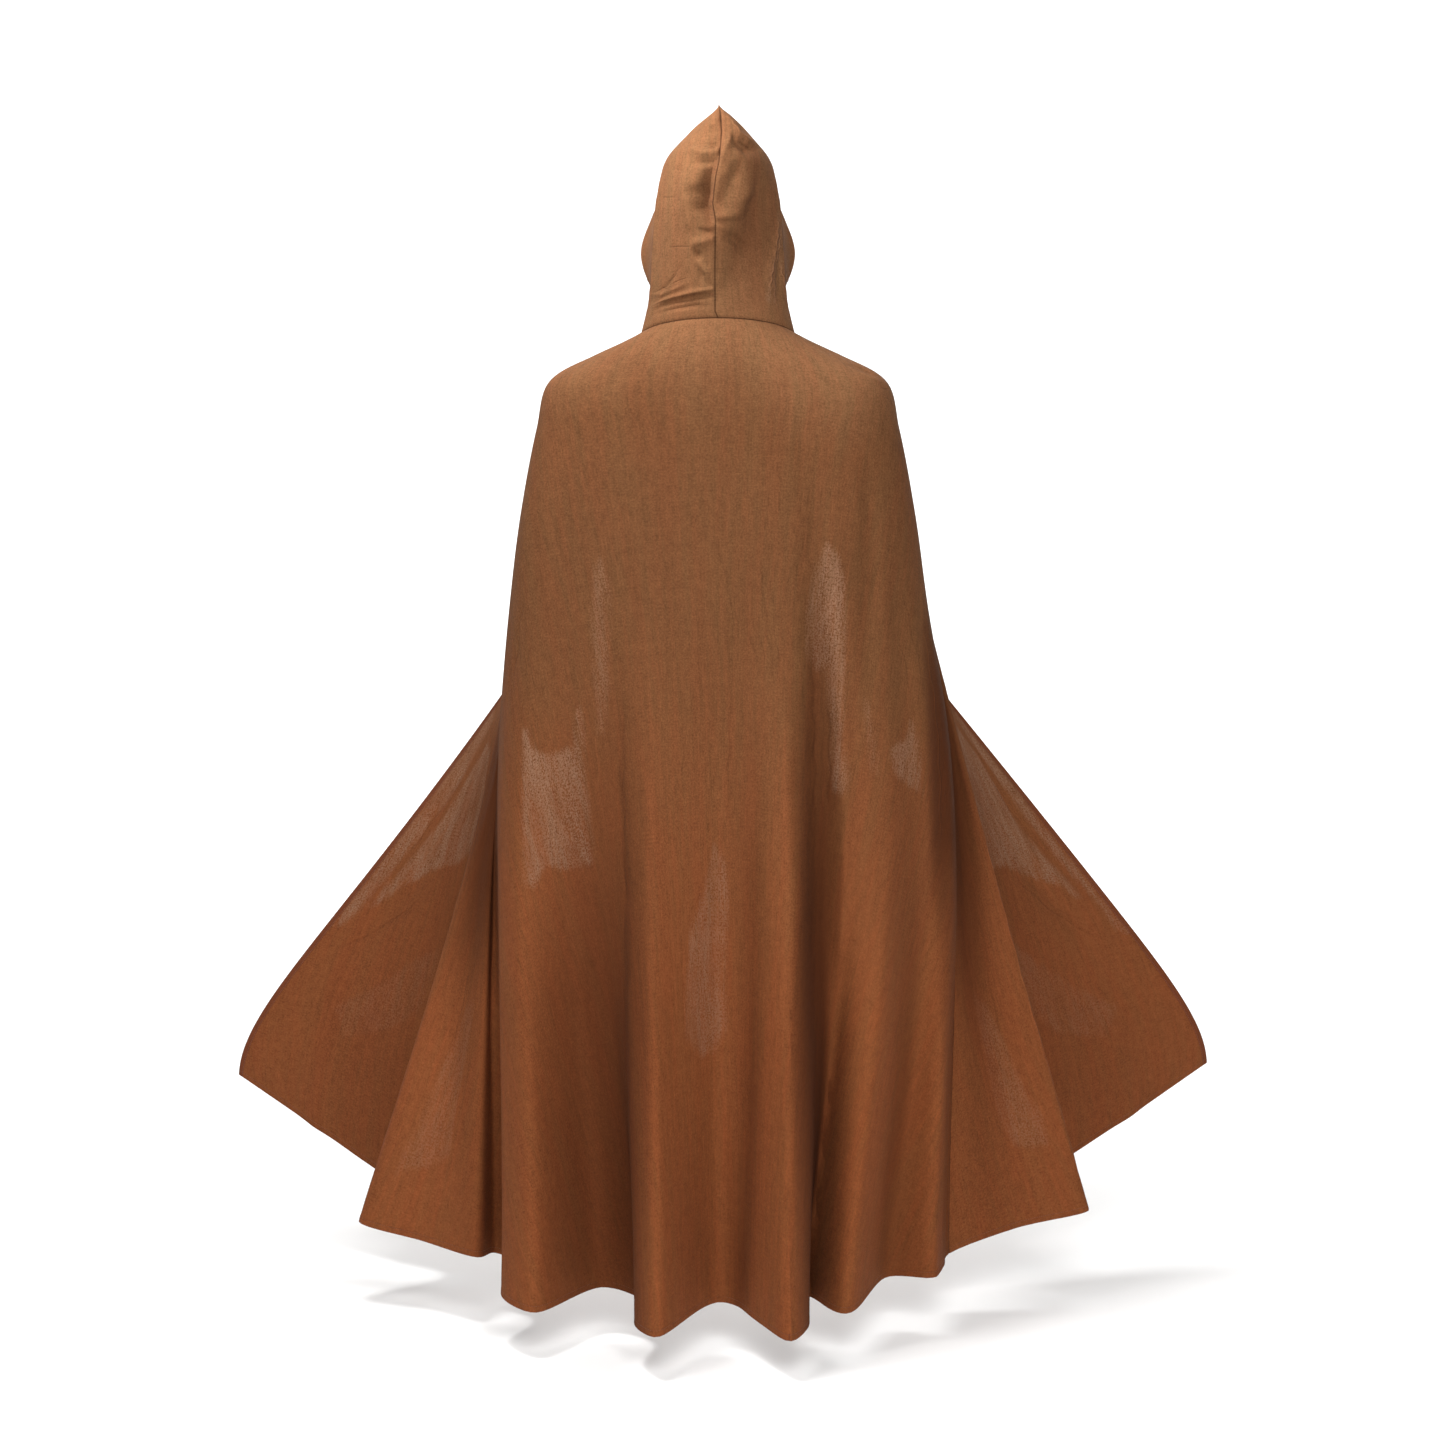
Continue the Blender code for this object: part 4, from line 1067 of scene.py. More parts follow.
# Metres of cloth turned under at a hem, and left inside a seam.
HEM_WIDTH, ALLOWANCE = 0.010, 0.009
BACK_CUT = Cut(1.709, 1.471, 1.450, 0.323, 1.018)
back = CutPiece(
    "back", body_at, (left_side, right_side), 1, body_girths, CLOTH_LENGTH,
    Relief(BACK_CREASES, BACK_FOLDS, {}, BACK_LINES, BACK_SHEER, BACK_FOLD_SHADE), {"foot": HEM_WIDTH}, BACK_CUT,
)
back_sheet = back.make(236, 176, cloth)
back.band("foot", HEM_WIDTH, cloth)
back.stitching("foot", HEM_WIDTH - CutPiece.STITCH_IN, thread)
for seam in ("start", "end", "top"):
    back.band(seam, ALLOWANCE, cloth)
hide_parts("back")

# FRONT PANELS
# The two fronts are narrower sectors of the same cloth. Their straight front edges are turned twice and
# stitched, and the cloak hangs open with its fronts spread to the sides, so that they show as two wings.
LEFT_CREASES = {
    "wing_fold": Crease(0.052, 0.60, 0.022, 0.80, 0.010, 0.014, -0.0050),
    "wing_fold_lip": Crease(0.038, 0.56, 0.014, 0.74, 0.009, 0.010, 0.0034),
    "wing_drag": Crease(0.010, 0.46, 0.006, 0.72, 0.005, 0.008, 0.0018, 0.4),
    "wing_drag_two": Crease(0.024, 0.47, 0.024, 0.70, 0.005, 0.008, -0.0020),
    "wing_drag_three": Crease(0.070, 0.62, 0.078, 0.86, 0.012, 0.020, -0.0030),
    "wing_sweep": Crease(0.010, 0.90, 0.060, 0.84, 0.020, 0.020, -0.0022),
    "wing_foot_ridge": Crease(0.040, 0.80, 0.050, 1.02, 0.014, 0.018, 0.0030, 0.9),
    "elbow_pull": Crease(0.120, 0.30, 0.040, 0.44, 0.009, 0.007, 0.0034, 0.6),
    "elbow_pull_two": Crease(0.150, 0.33, 0.060, 0.47, 0.009, 0.008, -0.0036, 0.6),
    "elbow_pull_three": Crease(0.090, 0.24, 0.015, 0.42, 0.008, 0.006, -0.0026, 0.6),
    "chest_fold": Crease(0.070, 0.10, 0.055, 0.42, 0.012, 0.016, -0.0044),
    "chest_ridge": Crease(0.035, 0.06, 0.030, 0.36, 0.011, 0.013, 0.0036),
    "collarbone": Crease(0.020, 0.03, 0.150, 0.09, 0.010, 0.014, -0.0030, 0.4),
    "collarbone_two": Crease(0.020, 0.05, 0.110, 0.15, 0.008, 0.012, 0.0022),
    "arm_fold": Crease(0.200, 0.16, 0.190, 0.56, 0.014, 0.018, -0.0030),
    "face_dip": Crease(0.214, 0.62, 0.206, 0.92, 0.012, 0.022, -0.0030),
    "ridge_line": Crease(0.150, 0.60, 0.168, 1.02, 0.010, 0.014, 0.0030, 0.7),
    "recess_line": Crease(0.262, 0.50, 0.258, 0.90, 0.009, 0.012, -0.0026),
    "inner_dip": Crease(0.110, 0.66, 0.122, 1.02, 0.014, 0.020, -0.0040, 0.8),
}
LEFT_LINES = {
    "wing_line": Pressed(0.064, 0.490, 0.020, 0.740, 0.0030, 0.5),
    "wing_line_two": Pressed(0.062, 0.660, 0.012, 0.790, 0.0030, -0.6),
    "wing_line_three": Pressed(0.030, 0.500, 0.018, 0.660, 0.0024, -0.5),
    "ridge_edge": Pressed(0.184, 0.430, 0.170, 0.900, 0.0024, 1.0),
    "side_line": Pressed(0.205, 0.450, 0.165, 0.640, 0.0024, 0.4),
    "side_line_two": Pressed(0.212, 0.700, 0.205, 0.820, 0.0024, -0.4),
}
LEFT_FOLDS = {
    "side_lip": LongFold(2.0, (
        (0.38, 0.235, 0.008, 0.012, 0.000), (0.44, 0.225, 0.008, 0.014, 0.003),
        (0.52, 0.205, 0.010, 0.016, 0.005), (0.60, 0.185, 0.012, 0.018, 0.005),
        (0.75, 0.170, 0.014, 0.020, 0.003), (1.00, 0.165, 0.014, 0.020, 0.002),
    )),
    "side_hollow": LongFold(2.0, (
        (0.36, 0.258, 0.030, 0.016, 0.000), (0.45, 0.258, 0.040, 0.018, -0.016),
        (0.52, 0.256, 0.040, 0.020, -0.026), (0.60, 0.256, 0.034, 0.020, -0.028),
        (0.68, 0.258, 0.022, 0.018, -0.018), (0.76, 0.260, 0.016, 0.016, 0.000),
    )),
}
# Painted shade deep in the side recess and on the inner wing, as on the back.
LEFT_FOLD_SHADE = {
    "side_recess": LongFold(3.0, (
        (0.34, 0.262, 0.020, 0.014, 0.00), (0.42, 0.250, 0.080, 0.040, 0.70),
        (0.50, 0.240, 0.110, 0.070, 0.95), (0.57, 0.234, 0.100, 0.080, 1.00),
        (0.62, 0.226, 0.075, 0.080, 1.00), (0.68, 0.216, 0.055, 0.070, 0.75),
        (0.74, 0.216, 0.050, 0.090, 0.35), (0.86, 0.240, 0.050, 0.080, 0.30),
        (1.00, 0.245, 0.040, 0.060, 0.30),
    )),
    "inner_wing": LongFold(2.0, (
        (0.4, 0.120, 0.03, 0.04, 0.00), (0.5, 0.105, 0.06, 0.06, 0.45), (0.7, 0.085, 0.08, 0.08, 0.42),
        (1.0, 0.075, 0.10, 0.10, 0.30),
    )),
}
LEFT_SHEER = {
    "wing_edge": Sheer(0.85, (
        (0.0045, 0.439), (0.0045, 0.516), (0.0045, 0.599), (0.0045, 0.697), (0.0045, 0.752),
        (0.0073, 0.744), (0.0144, 0.698), (0.0169, 0.649), (0.0195, 0.605), (0.0262, 0.562),
        (0.0306, 0.518), (0.0313, 0.478), (0.0344, 0.452),
    )),
    "wing_inner": Sheer(0.95, (
        (0.0545, 0.480), (0.0450, 0.510), (0.0380, 0.545), (0.0350, 0.580), (0.0310, 0.615),
        (0.0269, 0.649), (0.0204, 0.685), (0.0188, 0.712), (0.0331, 0.672), (0.0463, 0.650),
        (0.0600, 0.636), (0.0800, 0.622), (0.1000, 0.600), (0.0950, 0.540), (0.0800, 0.490),
    )),
    "wing_foot": Sheer(0.22, (
        (0.0932, 0.720), (0.0907, 0.794), (0.0744, 0.833), (0.0482, 0.874), (0.0344, 0.847),
        (0.0563, 0.791), (0.0738, 0.744),
    )),
    "face": Sheer(0.28, (
        (0.2245, 0.740), (0.2226, 0.781), (0.2170, 0.854), (0.2176, 0.904), (0.2089, 0.921),
        (0.1920, 0.933), (0.1895, 0.944), (0.1901, 0.917), (0.1964, 0.853), (0.2058, 0.797),
        (0.2133, 0.753),
    )),
}
left_front = CutPiece(
    "left_front", body_at, (0.0, left_side), 1, body_girths, CLOTH_LENGTH,
    Relief(LEFT_CREASES, LEFT_FOLDS, {}, LEFT_LINES, LEFT_SHEER, LEFT_FOLD_SHADE),
    {"start": HEM_WIDTH, "foot": HEM_WIDTH}, Cut(0.800, 1.440, 0.600, 0.267, 0.45),
)

RIGHT_CREASES = {
    "wing_fold": Crease(0.950, 0.62, 0.976, 0.80, 0.010, 0.014, -0.0052),
    "wing_fold_lip": Crease(0.962, 0.56, 0.986, 0.75, 0.009, 0.010, 0.0034),
    "wing_drag": Crease(0.990, 0.46, 0.994, 0.70, 0.005, 0.008, 0.0018, 0.4),
    "wing_drag_two": Crease(0.975, 0.47, 0.974, 0.68, 0.005, 0.008, -0.0020),
    "wing_drag_three": Crease(0.930, 0.60, 0.924, 0.84, 0.012, 0.020, -0.0030),
    "wing_sweep": Crease(0.990, 0.88, 0.942, 0.82, 0.020, 0.020, -0.0022),
    "wing_foot_ridge": Crease(0.958, 0.78, 0.950, 1.02, 0.014, 0.018, 0.0030, 0.9),
    "elbow_pull": Crease(0.884, 0.29, 0.962, 0.43, 0.009, 0.007, 0.0034, 0.6),
    "elbow_pull_two": Crease(0.860, 0.34, 0.944, 0.47, 0.009, 0.008, -0.0036, 0.6),
    "elbow_pull_three": Crease(0.914, 0.25, 0.984, 0.41, 0.008, 0.006, -0.0024, 0.6),
    "chest_fold": Crease(0.928, 0.10, 0.942, 0.40, 0.012, 0.016, -0.0042),
    "chest_ridge": Crease(0.966, 0.07, 0.972, 0.37, 0.011, 0.013, 0.0036),
    "collarbone": Crease(0.980, 0.03, 0.860, 0.10, 0.010, 0.014, -0.0030, 0.4),
    "collarbone_two": Crease(0.980, 0.05, 0.890, 0.15, 0.008, 0.012, 0.0022),
    "arm_fold": Crease(0.815, 0.16, 0.822, 0.54, 0.014, 0.018, -0.0030),
    "face_dip": Crease(0.786, 0.60, 0.804, 0.92, 0.012, 0.020, -0.0028),
    "ridge_line": Crease(0.836, 0.58, 0.834, 1.02, 0.010, 0.014, 0.0030, 0.7),
    "inner_dip": Crease(0.882, 0.66, 0.880, 1.02, 0.014, 0.020, -0.0040, 0.8),
}
RIGHT_LINES = {
    "wing_line": Pressed(0.930, 0.490, 0.975, 0.735, 0.0030, 0.5),
    "wing_line_two": Pressed(0.936, 0.640, 0.984, 0.780, 0.0030, -0.6),
    "wing_line_three": Pressed(0.968, 0.490, 0.982, 0.660, 0.0024, -0.5),
    "ridge_edge": Pressed(0.830, 0.400, 0.831, 0.880, 0.0024, 1.0),
    "side_line": Pressed(0.826, 0.450, 0.846, 0.640, 0.0024, 0.4),
    "side_line_two": Pressed(0.800, 0.690, 0.806, 0.810, 0.0024, -0.4),
}
RIGHT_FOLDS = {
    "side_lip": LongFold(2.0, (
        (0.38, 0.822, 0.012, 0.008, 0.000), (0.44, 0.822, 0.014, 0.008, 0.003),
        (0.52, 0.824, 0.016, 0.010, 0.005), (0.60, 0.830, 0.018, 0.012, 0.005),
        (0.75, 0.836, 0.020, 0.014, 0.003), (1.00, 0.838, 0.020, 0.014, 0.002),
    )),
    "side_hollow": LongFold(2.0, (
        (0.22, 0.779, 0.014, 0.020, 0.000), (0.32, 0.781, 0.016, 0.026, -0.016),
        (0.42, 0.783, 0.020, 0.032, -0.028), (0.52, 0.784, 0.022, 0.034, -0.034),
        (0.62, 0.785, 0.022, 0.030, -0.028), (0.72, 0.787, 0.020, 0.026, -0.012),
        (0.82, 0.790, 0.018, 0.024, 0.000),
    )),
}
# Painted shade deep in the side recess and on the inner wing, as on the back.
RIGHT_FOLD_SHADE = {
    "side_recess": LongFold(2.4, (
        (0.18, 0.7675, 0.010, 0.020, 0.00), (0.27, 0.7720, 0.020, 0.038, 0.75),
        (0.38, 0.7760, 0.030, 0.048, 1.00), (0.50, 0.7790, 0.030, 0.046, 1.00),
        (0.60, 0.7810, 0.030, 0.042, 1.00), (0.70, 0.7830, 0.026, 0.036, 0.85),
        (0.80, 0.7860, 0.026, 0.034, 0.50), (1.00, 0.7880, 0.026, 0.034, 0.15),
    )),
    "inner_wing": LongFold(2.0, (
        (0.42, 0.902, 0.040, 0.02, 0.00), (0.52, 0.914, 0.060, 0.04, 0.42),
        (0.70, 0.922, 0.075, 0.06, 0.38), (1.00, 0.930, 0.095, 0.09, 0.24),
    )),
}
RIGHT_SHEER = {
    "wing_edge": Sheer(0.85, (
        (0.9955, 0.442), (0.9955, 0.521), (0.9955, 0.592), (0.9955, 0.661), (0.9955, 0.724),
        (0.9955, 0.775), (0.9940, 0.765), (0.9925, 0.725), (0.9915, 0.695), (0.9895, 0.671),
        (0.9869, 0.632), (0.9850, 0.591), (0.9850, 0.552), (0.9836, 0.514), (0.9790, 0.482),
        (0.9770, 0.450),
    )),
    "wing_inner": Sheer(0.95, (
        (0.9600, 0.462), (0.9720, 0.494), (0.9735, 0.535), (0.9715, 0.577), (0.9737, 0.612),
        (0.9775, 0.645), (0.9812, 0.680), (0.9822, 0.705), (0.9744, 0.681), (0.9587, 0.662),
        (0.9468, 0.648), (0.9331, 0.632), (0.9100, 0.628), (0.9050, 0.594), (0.9150, 0.540),
        (0.9300, 0.480),
    )),
    "wing_foot": Sheer(0.24, (
        (0.9131, 0.721), (0.9112, 0.803), (0.9256, 0.848), (0.9518, 0.886), (0.9650, 0.857),
        (0.9431, 0.798), (0.9262, 0.750),
    )),
    "face": Sheer(0.32, (
        (0.7861, 0.741), (0.7974, 0.757), (0.8080, 0.804), (0.8136, 0.850), (0.8199, 0.886),
        (0.8199, 0.918), (0.8118, 0.918), (0.8036, 0.911), (0.7974, 0.888), (0.7949, 0.831),
        (0.7905, 0.785),
    )),
}
right_front = CutPiece(
    "right_front", body_at, (right_side, 1.0), 1, body_girths, CLOTH_LENGTH,
    Relief(RIGHT_CREASES, RIGHT_FOLDS, {}, RIGHT_LINES, RIGHT_SHEER, RIGHT_FOLD_SHADE),
    {"end": HEM_WIDTH, "foot": HEM_WIDTH}, Cut(0.700, 1.440, 0.550, 0.330, 0.43),
)
for piece in (left_front, right_front):
    sheet = piece.make(130, 176, cloth)
    for edge in piece.hems:
        piece.band(edge, HEM_WIDTH, cloth)
        piece.stitching(edge, HEM_WIDTH - CutPiece.STITCH_IN, thread)
    piece.band("top", ALLOWANCE, cloth)
    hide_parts(piece.name)

# HOOD
# The hood is two mirrored halves of the same cloth, joined by a seam over the crown and down the back, with
# a wide turned hem round the face. It is sewn into the neck and rises to a soft point that has tipped over.
HOOD_SECTIONS = {
    "neck": BODY_SECTIONS["neck"],
    "nape": Section(0.034, -0.106, -0.004, 0.104, 0.004, 0.030, 0.095, 0.042),
    "jaw": Section(0.086, -0.118, 0.046, 0.101, 0.008, 0.064, 0.101, 0.075),
    "cheek": Section(0.116, -0.124, 0.112, 0.097, 0.012, 0.115, 0.112, 0.125),
    "temple": Section(0.101, -0.130, 0.170, 0.093, 0.014, 0.165, 0.118, 0.175),
    "brow": Section(0.078, -0.134, 0.216, 0.087, 0.014, 0.205, 0.116, 0.215),
    "head_top": Section(0.048, -0.134, 0.246, 0.074, 0.018, 0.246, 0.104, 0.252),
    "peak_foot": Section(0.022, -0.132, 0.257, 0.050, 0.026, 0.273, 0.084, 0.284),
    "peak": Section(0.010, -0.131, 0.261, 0.024, 0.028, 0.297, 0.071, 0.306),
    "crown_seam": Section(0.000, -0.130, 0.264, 0.000, 0.020, 0.306, 0.062, 0.320, 2.0, 1.0),
}
HOOD_HEM = 0.016
HOOD_CUT = Cut(0.31, 0.38, 0.105)

# How far the seam down the back of the hood strays to the cloak's left, in metres, by its height share.
SEAM_SWAY = {
    0.0: 0.0, 0.03: 0.004, 0.235: 0.0045, 0.44: 0.0033, 0.52: 0.0076, 0.645: 0.0033, 0.713: -0.0014,
    0.858: -0.0054, 0.95: -0.0035, 1.0: -0.001,
}


def hood_form(across):
    """Points of the left half of the hood: a row for each section, from the front edge to the back seam."""
    return np.stack([evenly(half_section(section), across) for section in HOOD_SECTIONS.values()])


hood_shares = shares_of(hood_form)


class HoodHalf(CutPiece):
    """One half of the hood. Side is 1 for the cloak's left half and -1 for its right."""

    EDGE_TONE = 0.25
    SEAM_SOFT = 0.003
    FOLDS_RUN = "out"

    def __init__(self, name, side, relief):
        self.side = side
        super().__init__(
            name, self.hood_at, (0.0, 1.0), -side, girths_of(self.hood_at), HOOD_CUT.length, relief,
            {"start": HOOD_HEM}, HOOD_CUT,
        )

    def hood_at(self, across, up):
        """Points of this half's form."""
        points = through(hood_form(across), hood_shares, up)
        points[:, 0] *= self.side
        return points

    def settle(self, points):
        """Keeps the half on its own side of the seam, then lets the seam stray."""
        points = points.copy()
        points[:, 0] = np.maximum(points[:, 0] * self.side, 0.0) * self.side
        height = np.interp(points[:, 2], (0.01, 0.32), (0, 1))
        sway = np.interp(height, list(SEAM_SWAY), list(SEAM_SWAY.values()))
        points[:, 0] += sway * np.exp(-((points[:, 0] / 0.045) ** 2)) * np.clip(points[:, 1] / 0.06, 0, 1)
        return points

    def flat(self, across, down):
        """Where each place lies on the flat cut, in metres."""
        return np.stack([across * self.cut.width, down * self.cut.length], axis=1)


HOOD_FOLDS = {
    "cheek_fold": LongFold(2.0, (
        (0.10, 0.505, 0.008, 0.005, 0.000), (0.26, 0.518, 0.010, 0.005, -0.009),
        (0.39, 0.532, 0.012, 0.006, -0.013), (0.51, 0.546, 0.010, 0.006, -0.010),
        (0.64, 0.548, 0.008, 0.005, -0.003), (0.72, 0.550, 0.006, 0.005, 0.000),
    )),
    "cheek_ridge": LongFold(2.0, (
        (0.08, 0.545, 0.005, 0.01, 0.0000), (0.26, 0.552, 0.005, 0.01, 0.0030),
        (0.39, 0.567, 0.005, 0.01, 0.0045), (0.51, 0.582, 0.005, 0.01, 0.0045),
        (0.64, 0.580, 0.006, 0.01, 0.0020), (0.74, 0.580, 0.006, 0.01, 0.0000),
    )),
}
# Painted shade deep in the hood's folds, as on the back.
LEFT_HOOD_FOLD_SHADE = {
    "cheek": LongFold(2.4, (
        (0.06, 0.470, 0.030, 0.010, 0.00), (0.26, 0.480, 0.050, 0.012, 0.55),
        (0.39, 0.495, 0.055, 0.012, 0.60), (0.51, 0.515, 0.045, 0.010, 0.55),
        (0.64, 0.530, 0.025, 0.008, 0.30), (0.72, 0.540, 0.010, 0.006, 0.00),
    )),
    "seam_hollow": LongFold(2.4, (
        (0.34, 0.985, 0.006, 0.004, 0.00), (0.40, 0.978, 0.011, 0.008, 0.35),
        (0.50, 0.974, 0.017, 0.011, 0.50), (0.60, 0.975, 0.017, 0.011, 0.50),
        (0.66, 0.982, 0.010, 0.008, 0.40), (0.71, 0.988, 0.006, 0.005, 0.00),
    )),
}
RIGHT_HOOD_FOLD_SHADE = {
    "cheek": LEFT_HOOD_FOLD_SHADE["cheek"],
    "sweep": LongFold(2.0, (
        (0.04, 0.93, 0.020, 0.014, 0.00), (0.20, 0.89, 0.034, 0.018, 0.30),
        (0.37, 0.84, 0.044, 0.022, 0.55), (0.50, 0.80, 0.048, 0.024, 0.58),
        (0.62, 0.79, 0.048, 0.024, 0.46), (0.76, 0.85, 0.024, 0.014, 0.55),
        (0.85, 0.90, 0.012, 0.010, 0.00),
    )),
}
# Painted light: where the hood is pulled straight at the side, pale streaks of light are painted along its
# creases.
LEFT_HOOD_SHEER = {
    "cheek_edge": Sheer(0.4, (
        (0.558, 0.16), (0.566, 0.38), (0.582, 0.60), (0.592, 0.60), (0.577, 0.38), (0.568, 0.16),
    )),
}
RIGHT_HOOD_SHEER = LEFT_HOOD_SHEER | {
    "side": Sheer(0.75, (
        (0.616, 0.500), (0.672, 0.310), (0.732, 0.110), (0.746, 0.118), (0.686, 0.315), (0.624, 0.505),
    )),
    "side_two": Sheer(0.6, (
        (0.584, 0.460), (0.640, 0.270), (0.690, 0.110), (0.702, 0.116), (0.652, 0.275), (0.592, 0.465),
    )),
    "side_three": Sheer(0.45, (
        (0.600, 0.320), (0.566, 0.220), (0.530, 0.130), (0.540, 0.124), (0.578, 0.216), (0.609, 0.315),
    )),
}
# Each ripple runs through stations of across, up, width in metres and depth in metres.
HOOD_RIPPLES = {
    "jaw_fold": ((0.40, 0.03, 0.006, 0.000), (0.42, 0.18, 0.008, -0.003), (0.44, 0.42, 0.008, 0.000)),
    "brow_fold": ((0.16, 0.70, 0.005, 0.000), (0.34, 0.72, 0.006, -0.003), (0.56, 0.76, 0.006, 0.000)),
}
LEFT_HOOD_RIPPLES = HOOD_RIPPLES | {
    "seam_hollow": (
        (0.992, 0.700, 0.005, 0.000), (0.982, 0.640, 0.009, -0.010), (0.968, 0.560, 0.013, -0.019),
        (0.972, 0.495, 0.011, -0.017), (0.982, 0.450, 0.007, -0.007), (0.990, 0.420, 0.005, 0.000),
    ),
    "hollow_bank": (
        (0.850, 0.69, 0.007, 0.000), (0.842, 0.60, 0.010, 0.005), (0.835, 0.52, 0.010, 0.005),
        (0.855, 0.44, 0.008, 0.003), (0.870, 0.40, 0.006, 0.000),
    ),
    "crown_nick": (
        (0.995, 0.775, 0.003, -0.002), (0.965, 0.766, 0.004, -0.005), (0.935, 0.790, 0.004, 0.000),
    ),
    "crown_crumple": (
        (0.995, 0.700, 0.004, -0.003), (0.945, 0.686, 0.005, -0.006), (0.890, 0.690, 0.005, -0.004),
        (0.830, 0.680, 0.004, 0.000),
    ),
    "crown_crumple_lip": (
        (0.99, 0.735, 0.004, 0.003), (0.93, 0.730, 0.004, 0.004), (0.87, 0.750, 0.004, 0.003),
        (0.82, 0.760, 0.004, 0.000),
    ),
    "crown_facet": (
        (0.975, 0.91, 0.005, 0.001), (0.935, 0.86, 0.007, 0.004), (0.925, 0.81, 0.005, 0.000),
    ),
    "ear_shadow": (
        (0.985, 0.395, 0.003, -0.002), (0.945, 0.398, 0.004, -0.003), (0.900, 0.408, 0.004, 0.000),
    ),
    "ear_ridge": ((0.99, 0.366, 0.004, 0.003), (0.93, 0.358, 0.005, 0.006), (0.87, 0.362, 0.005, 0.000)),
    "ear_dimple": (
        (0.880, 0.335, 0.003, 0.000), (0.908, 0.305, 0.004, -0.006), (0.925, 0.280, 0.003, 0.000),
    ),
    "nape_ridge": (
        (0.930, 0.285, 0.003, 0.000), (0.955, 0.235, 0.004, 0.004), (0.978, 0.165, 0.003, 0.000),
    ),
    "nape_dip": (
        (0.900, 0.270, 0.003, 0.000), (0.925, 0.215, 0.004, -0.003), (0.945, 0.165, 0.003, 0.000),
    ),
    "neck_wrinkle": (
        (0.590, 0.100, 0.0025, 0.0000), (0.750, 0.120, 0.0030, 0.0030), (0.870, 0.132, 0.0035, 0.0045),
        (0.985, 0.146, 0.0030, 0.0030),
    ),
    "neck_wrinkle_shadow": (
        (0.620, 0.078, 0.003, 0.0000), (0.760, 0.096, 0.003, -0.0030), (0.890, 0.106, 0.004, -0.0055),
        (0.985, 0.116, 0.003, -0.0040),
    ),
    "neck_wrinkle_two": (
        (0.57, 0.165, 0.0025, 0.0000), (0.69, 0.150, 0.0030, 0.0022), (0.80, 0.172, 0.0030, 0.0020),
        (0.89, 0.196, 0.0030, 0.0000),
    ),
    "neck_wrinkle_three": (
        (0.660, 0.150, 0.0025, 0.000), (0.735, 0.205, 0.0030, -0.002), (0.815, 0.275, 0.0030, 0.000),
    ),
    "neck_wrinkle_four": (
        (0.60, 0.060, 0.0030, 0.000), (0.75, 0.062, 0.0035, -0.002), (0.90, 0.066, 0.0035, -0.003),
        (0.98, 0.050, 0.0030, 0.000),
    ),
}
RIGHT_HOOD_RIPPLES = HOOD_RIPPLES | {
    "peak_ridge": (
        (0.985, 0.935, 0.004, 0.002), (0.920, 0.872, 0.006, 0.004), (0.880, 0.826, 0.006, 0.004),
        (0.830, 0.805, 0.006, 0.003), (0.730, 0.815, 0.005, 0.000),
    ),
    "peak_shadow": (
        (0.975, 0.850, 0.004, -0.001), (0.915, 0.795, 0.006, -0.005), (0.855, 0.762, 0.008, -0.008),
        (0.790, 0.765, 0.008, -0.004), (0.720, 0.780, 0.006, 0.000),
    ),
    "crown_wedge": (
        (0.975, 0.890, 0.004, 0.001), (0.945, 0.830, 0.005, 0.003), (0.960, 0.765, 0.005, 0.004),
        (0.985, 0.710, 0.005, 0.003), (0.995, 0.670, 0.004, 0.000),
    ),
    "crown_hollow": (
        (0.860, 0.700, 0.006, 0.000), (0.900, 0.655, 0.009, -0.007), (0.930, 0.580, 0.009, -0.007),
        (0.945, 0.520, 0.007, -0.004), (0.955, 0.485, 0.005, 0.000),
    ),
    "cheek_bank": (
        (0.790, 0.63, 0.007, 0.000), (0.835, 0.56, 0.009, 0.005), (0.868, 0.50, 0.008, 0.005),
        (0.885, 0.45, 0.006, 0.000),
    ),
    "ear_ridge": (
        (0.995, 0.452, 0.0040, 0.003), (0.940, 0.462, 0.0055, 0.006), (0.875, 0.464, 0.0050, 0.004),
        (0.830, 0.472, 0.0040, 0.000),
    ),
    "ear_wedge": (
        (0.995, 0.420, 0.003, 0.002), (0.955, 0.398, 0.004, 0.003), (0.905, 0.370, 0.003, 0.000),
    ),
    "ear_shadow": (
        (0.98, 0.41, 0.003, 0.000), (0.93, 0.38, 0.006, -0.007), (0.87, 0.35, 0.008, -0.009),
        (0.82, 0.36, 0.006, 0.000),
    ),
    "sweep": (
        (0.730, 0.68, 0.010, 0.000), (0.762, 0.60, 0.014, -0.006), (0.795, 0.48, 0.018, -0.012),
        (0.845, 0.37, 0.018, -0.012), (0.915, 0.21, 0.016, -0.007), (0.955, 0.12, 0.010, -0.002),
        (0.975, 0.06, 0.008, 0.000),
    ),
    "side_ridge": (
        (0.600, 0.52, 0.004, 0.0000), (0.650, 0.42, 0.006, 0.0035), (0.684, 0.30, 0.006, 0.0045),
        (0.716, 0.18, 0.006, 0.0035), (0.740, 0.08, 0.004, 0.0000),
    ),
    "side_trough": (
        (0.580, 0.50, 0.004, 0.000), (0.616, 0.36, 0.006, -0.002), (0.634, 0.24, 0.006, -0.003),
        (0.660, 0.10, 0.004, 0.000),
    ),
}
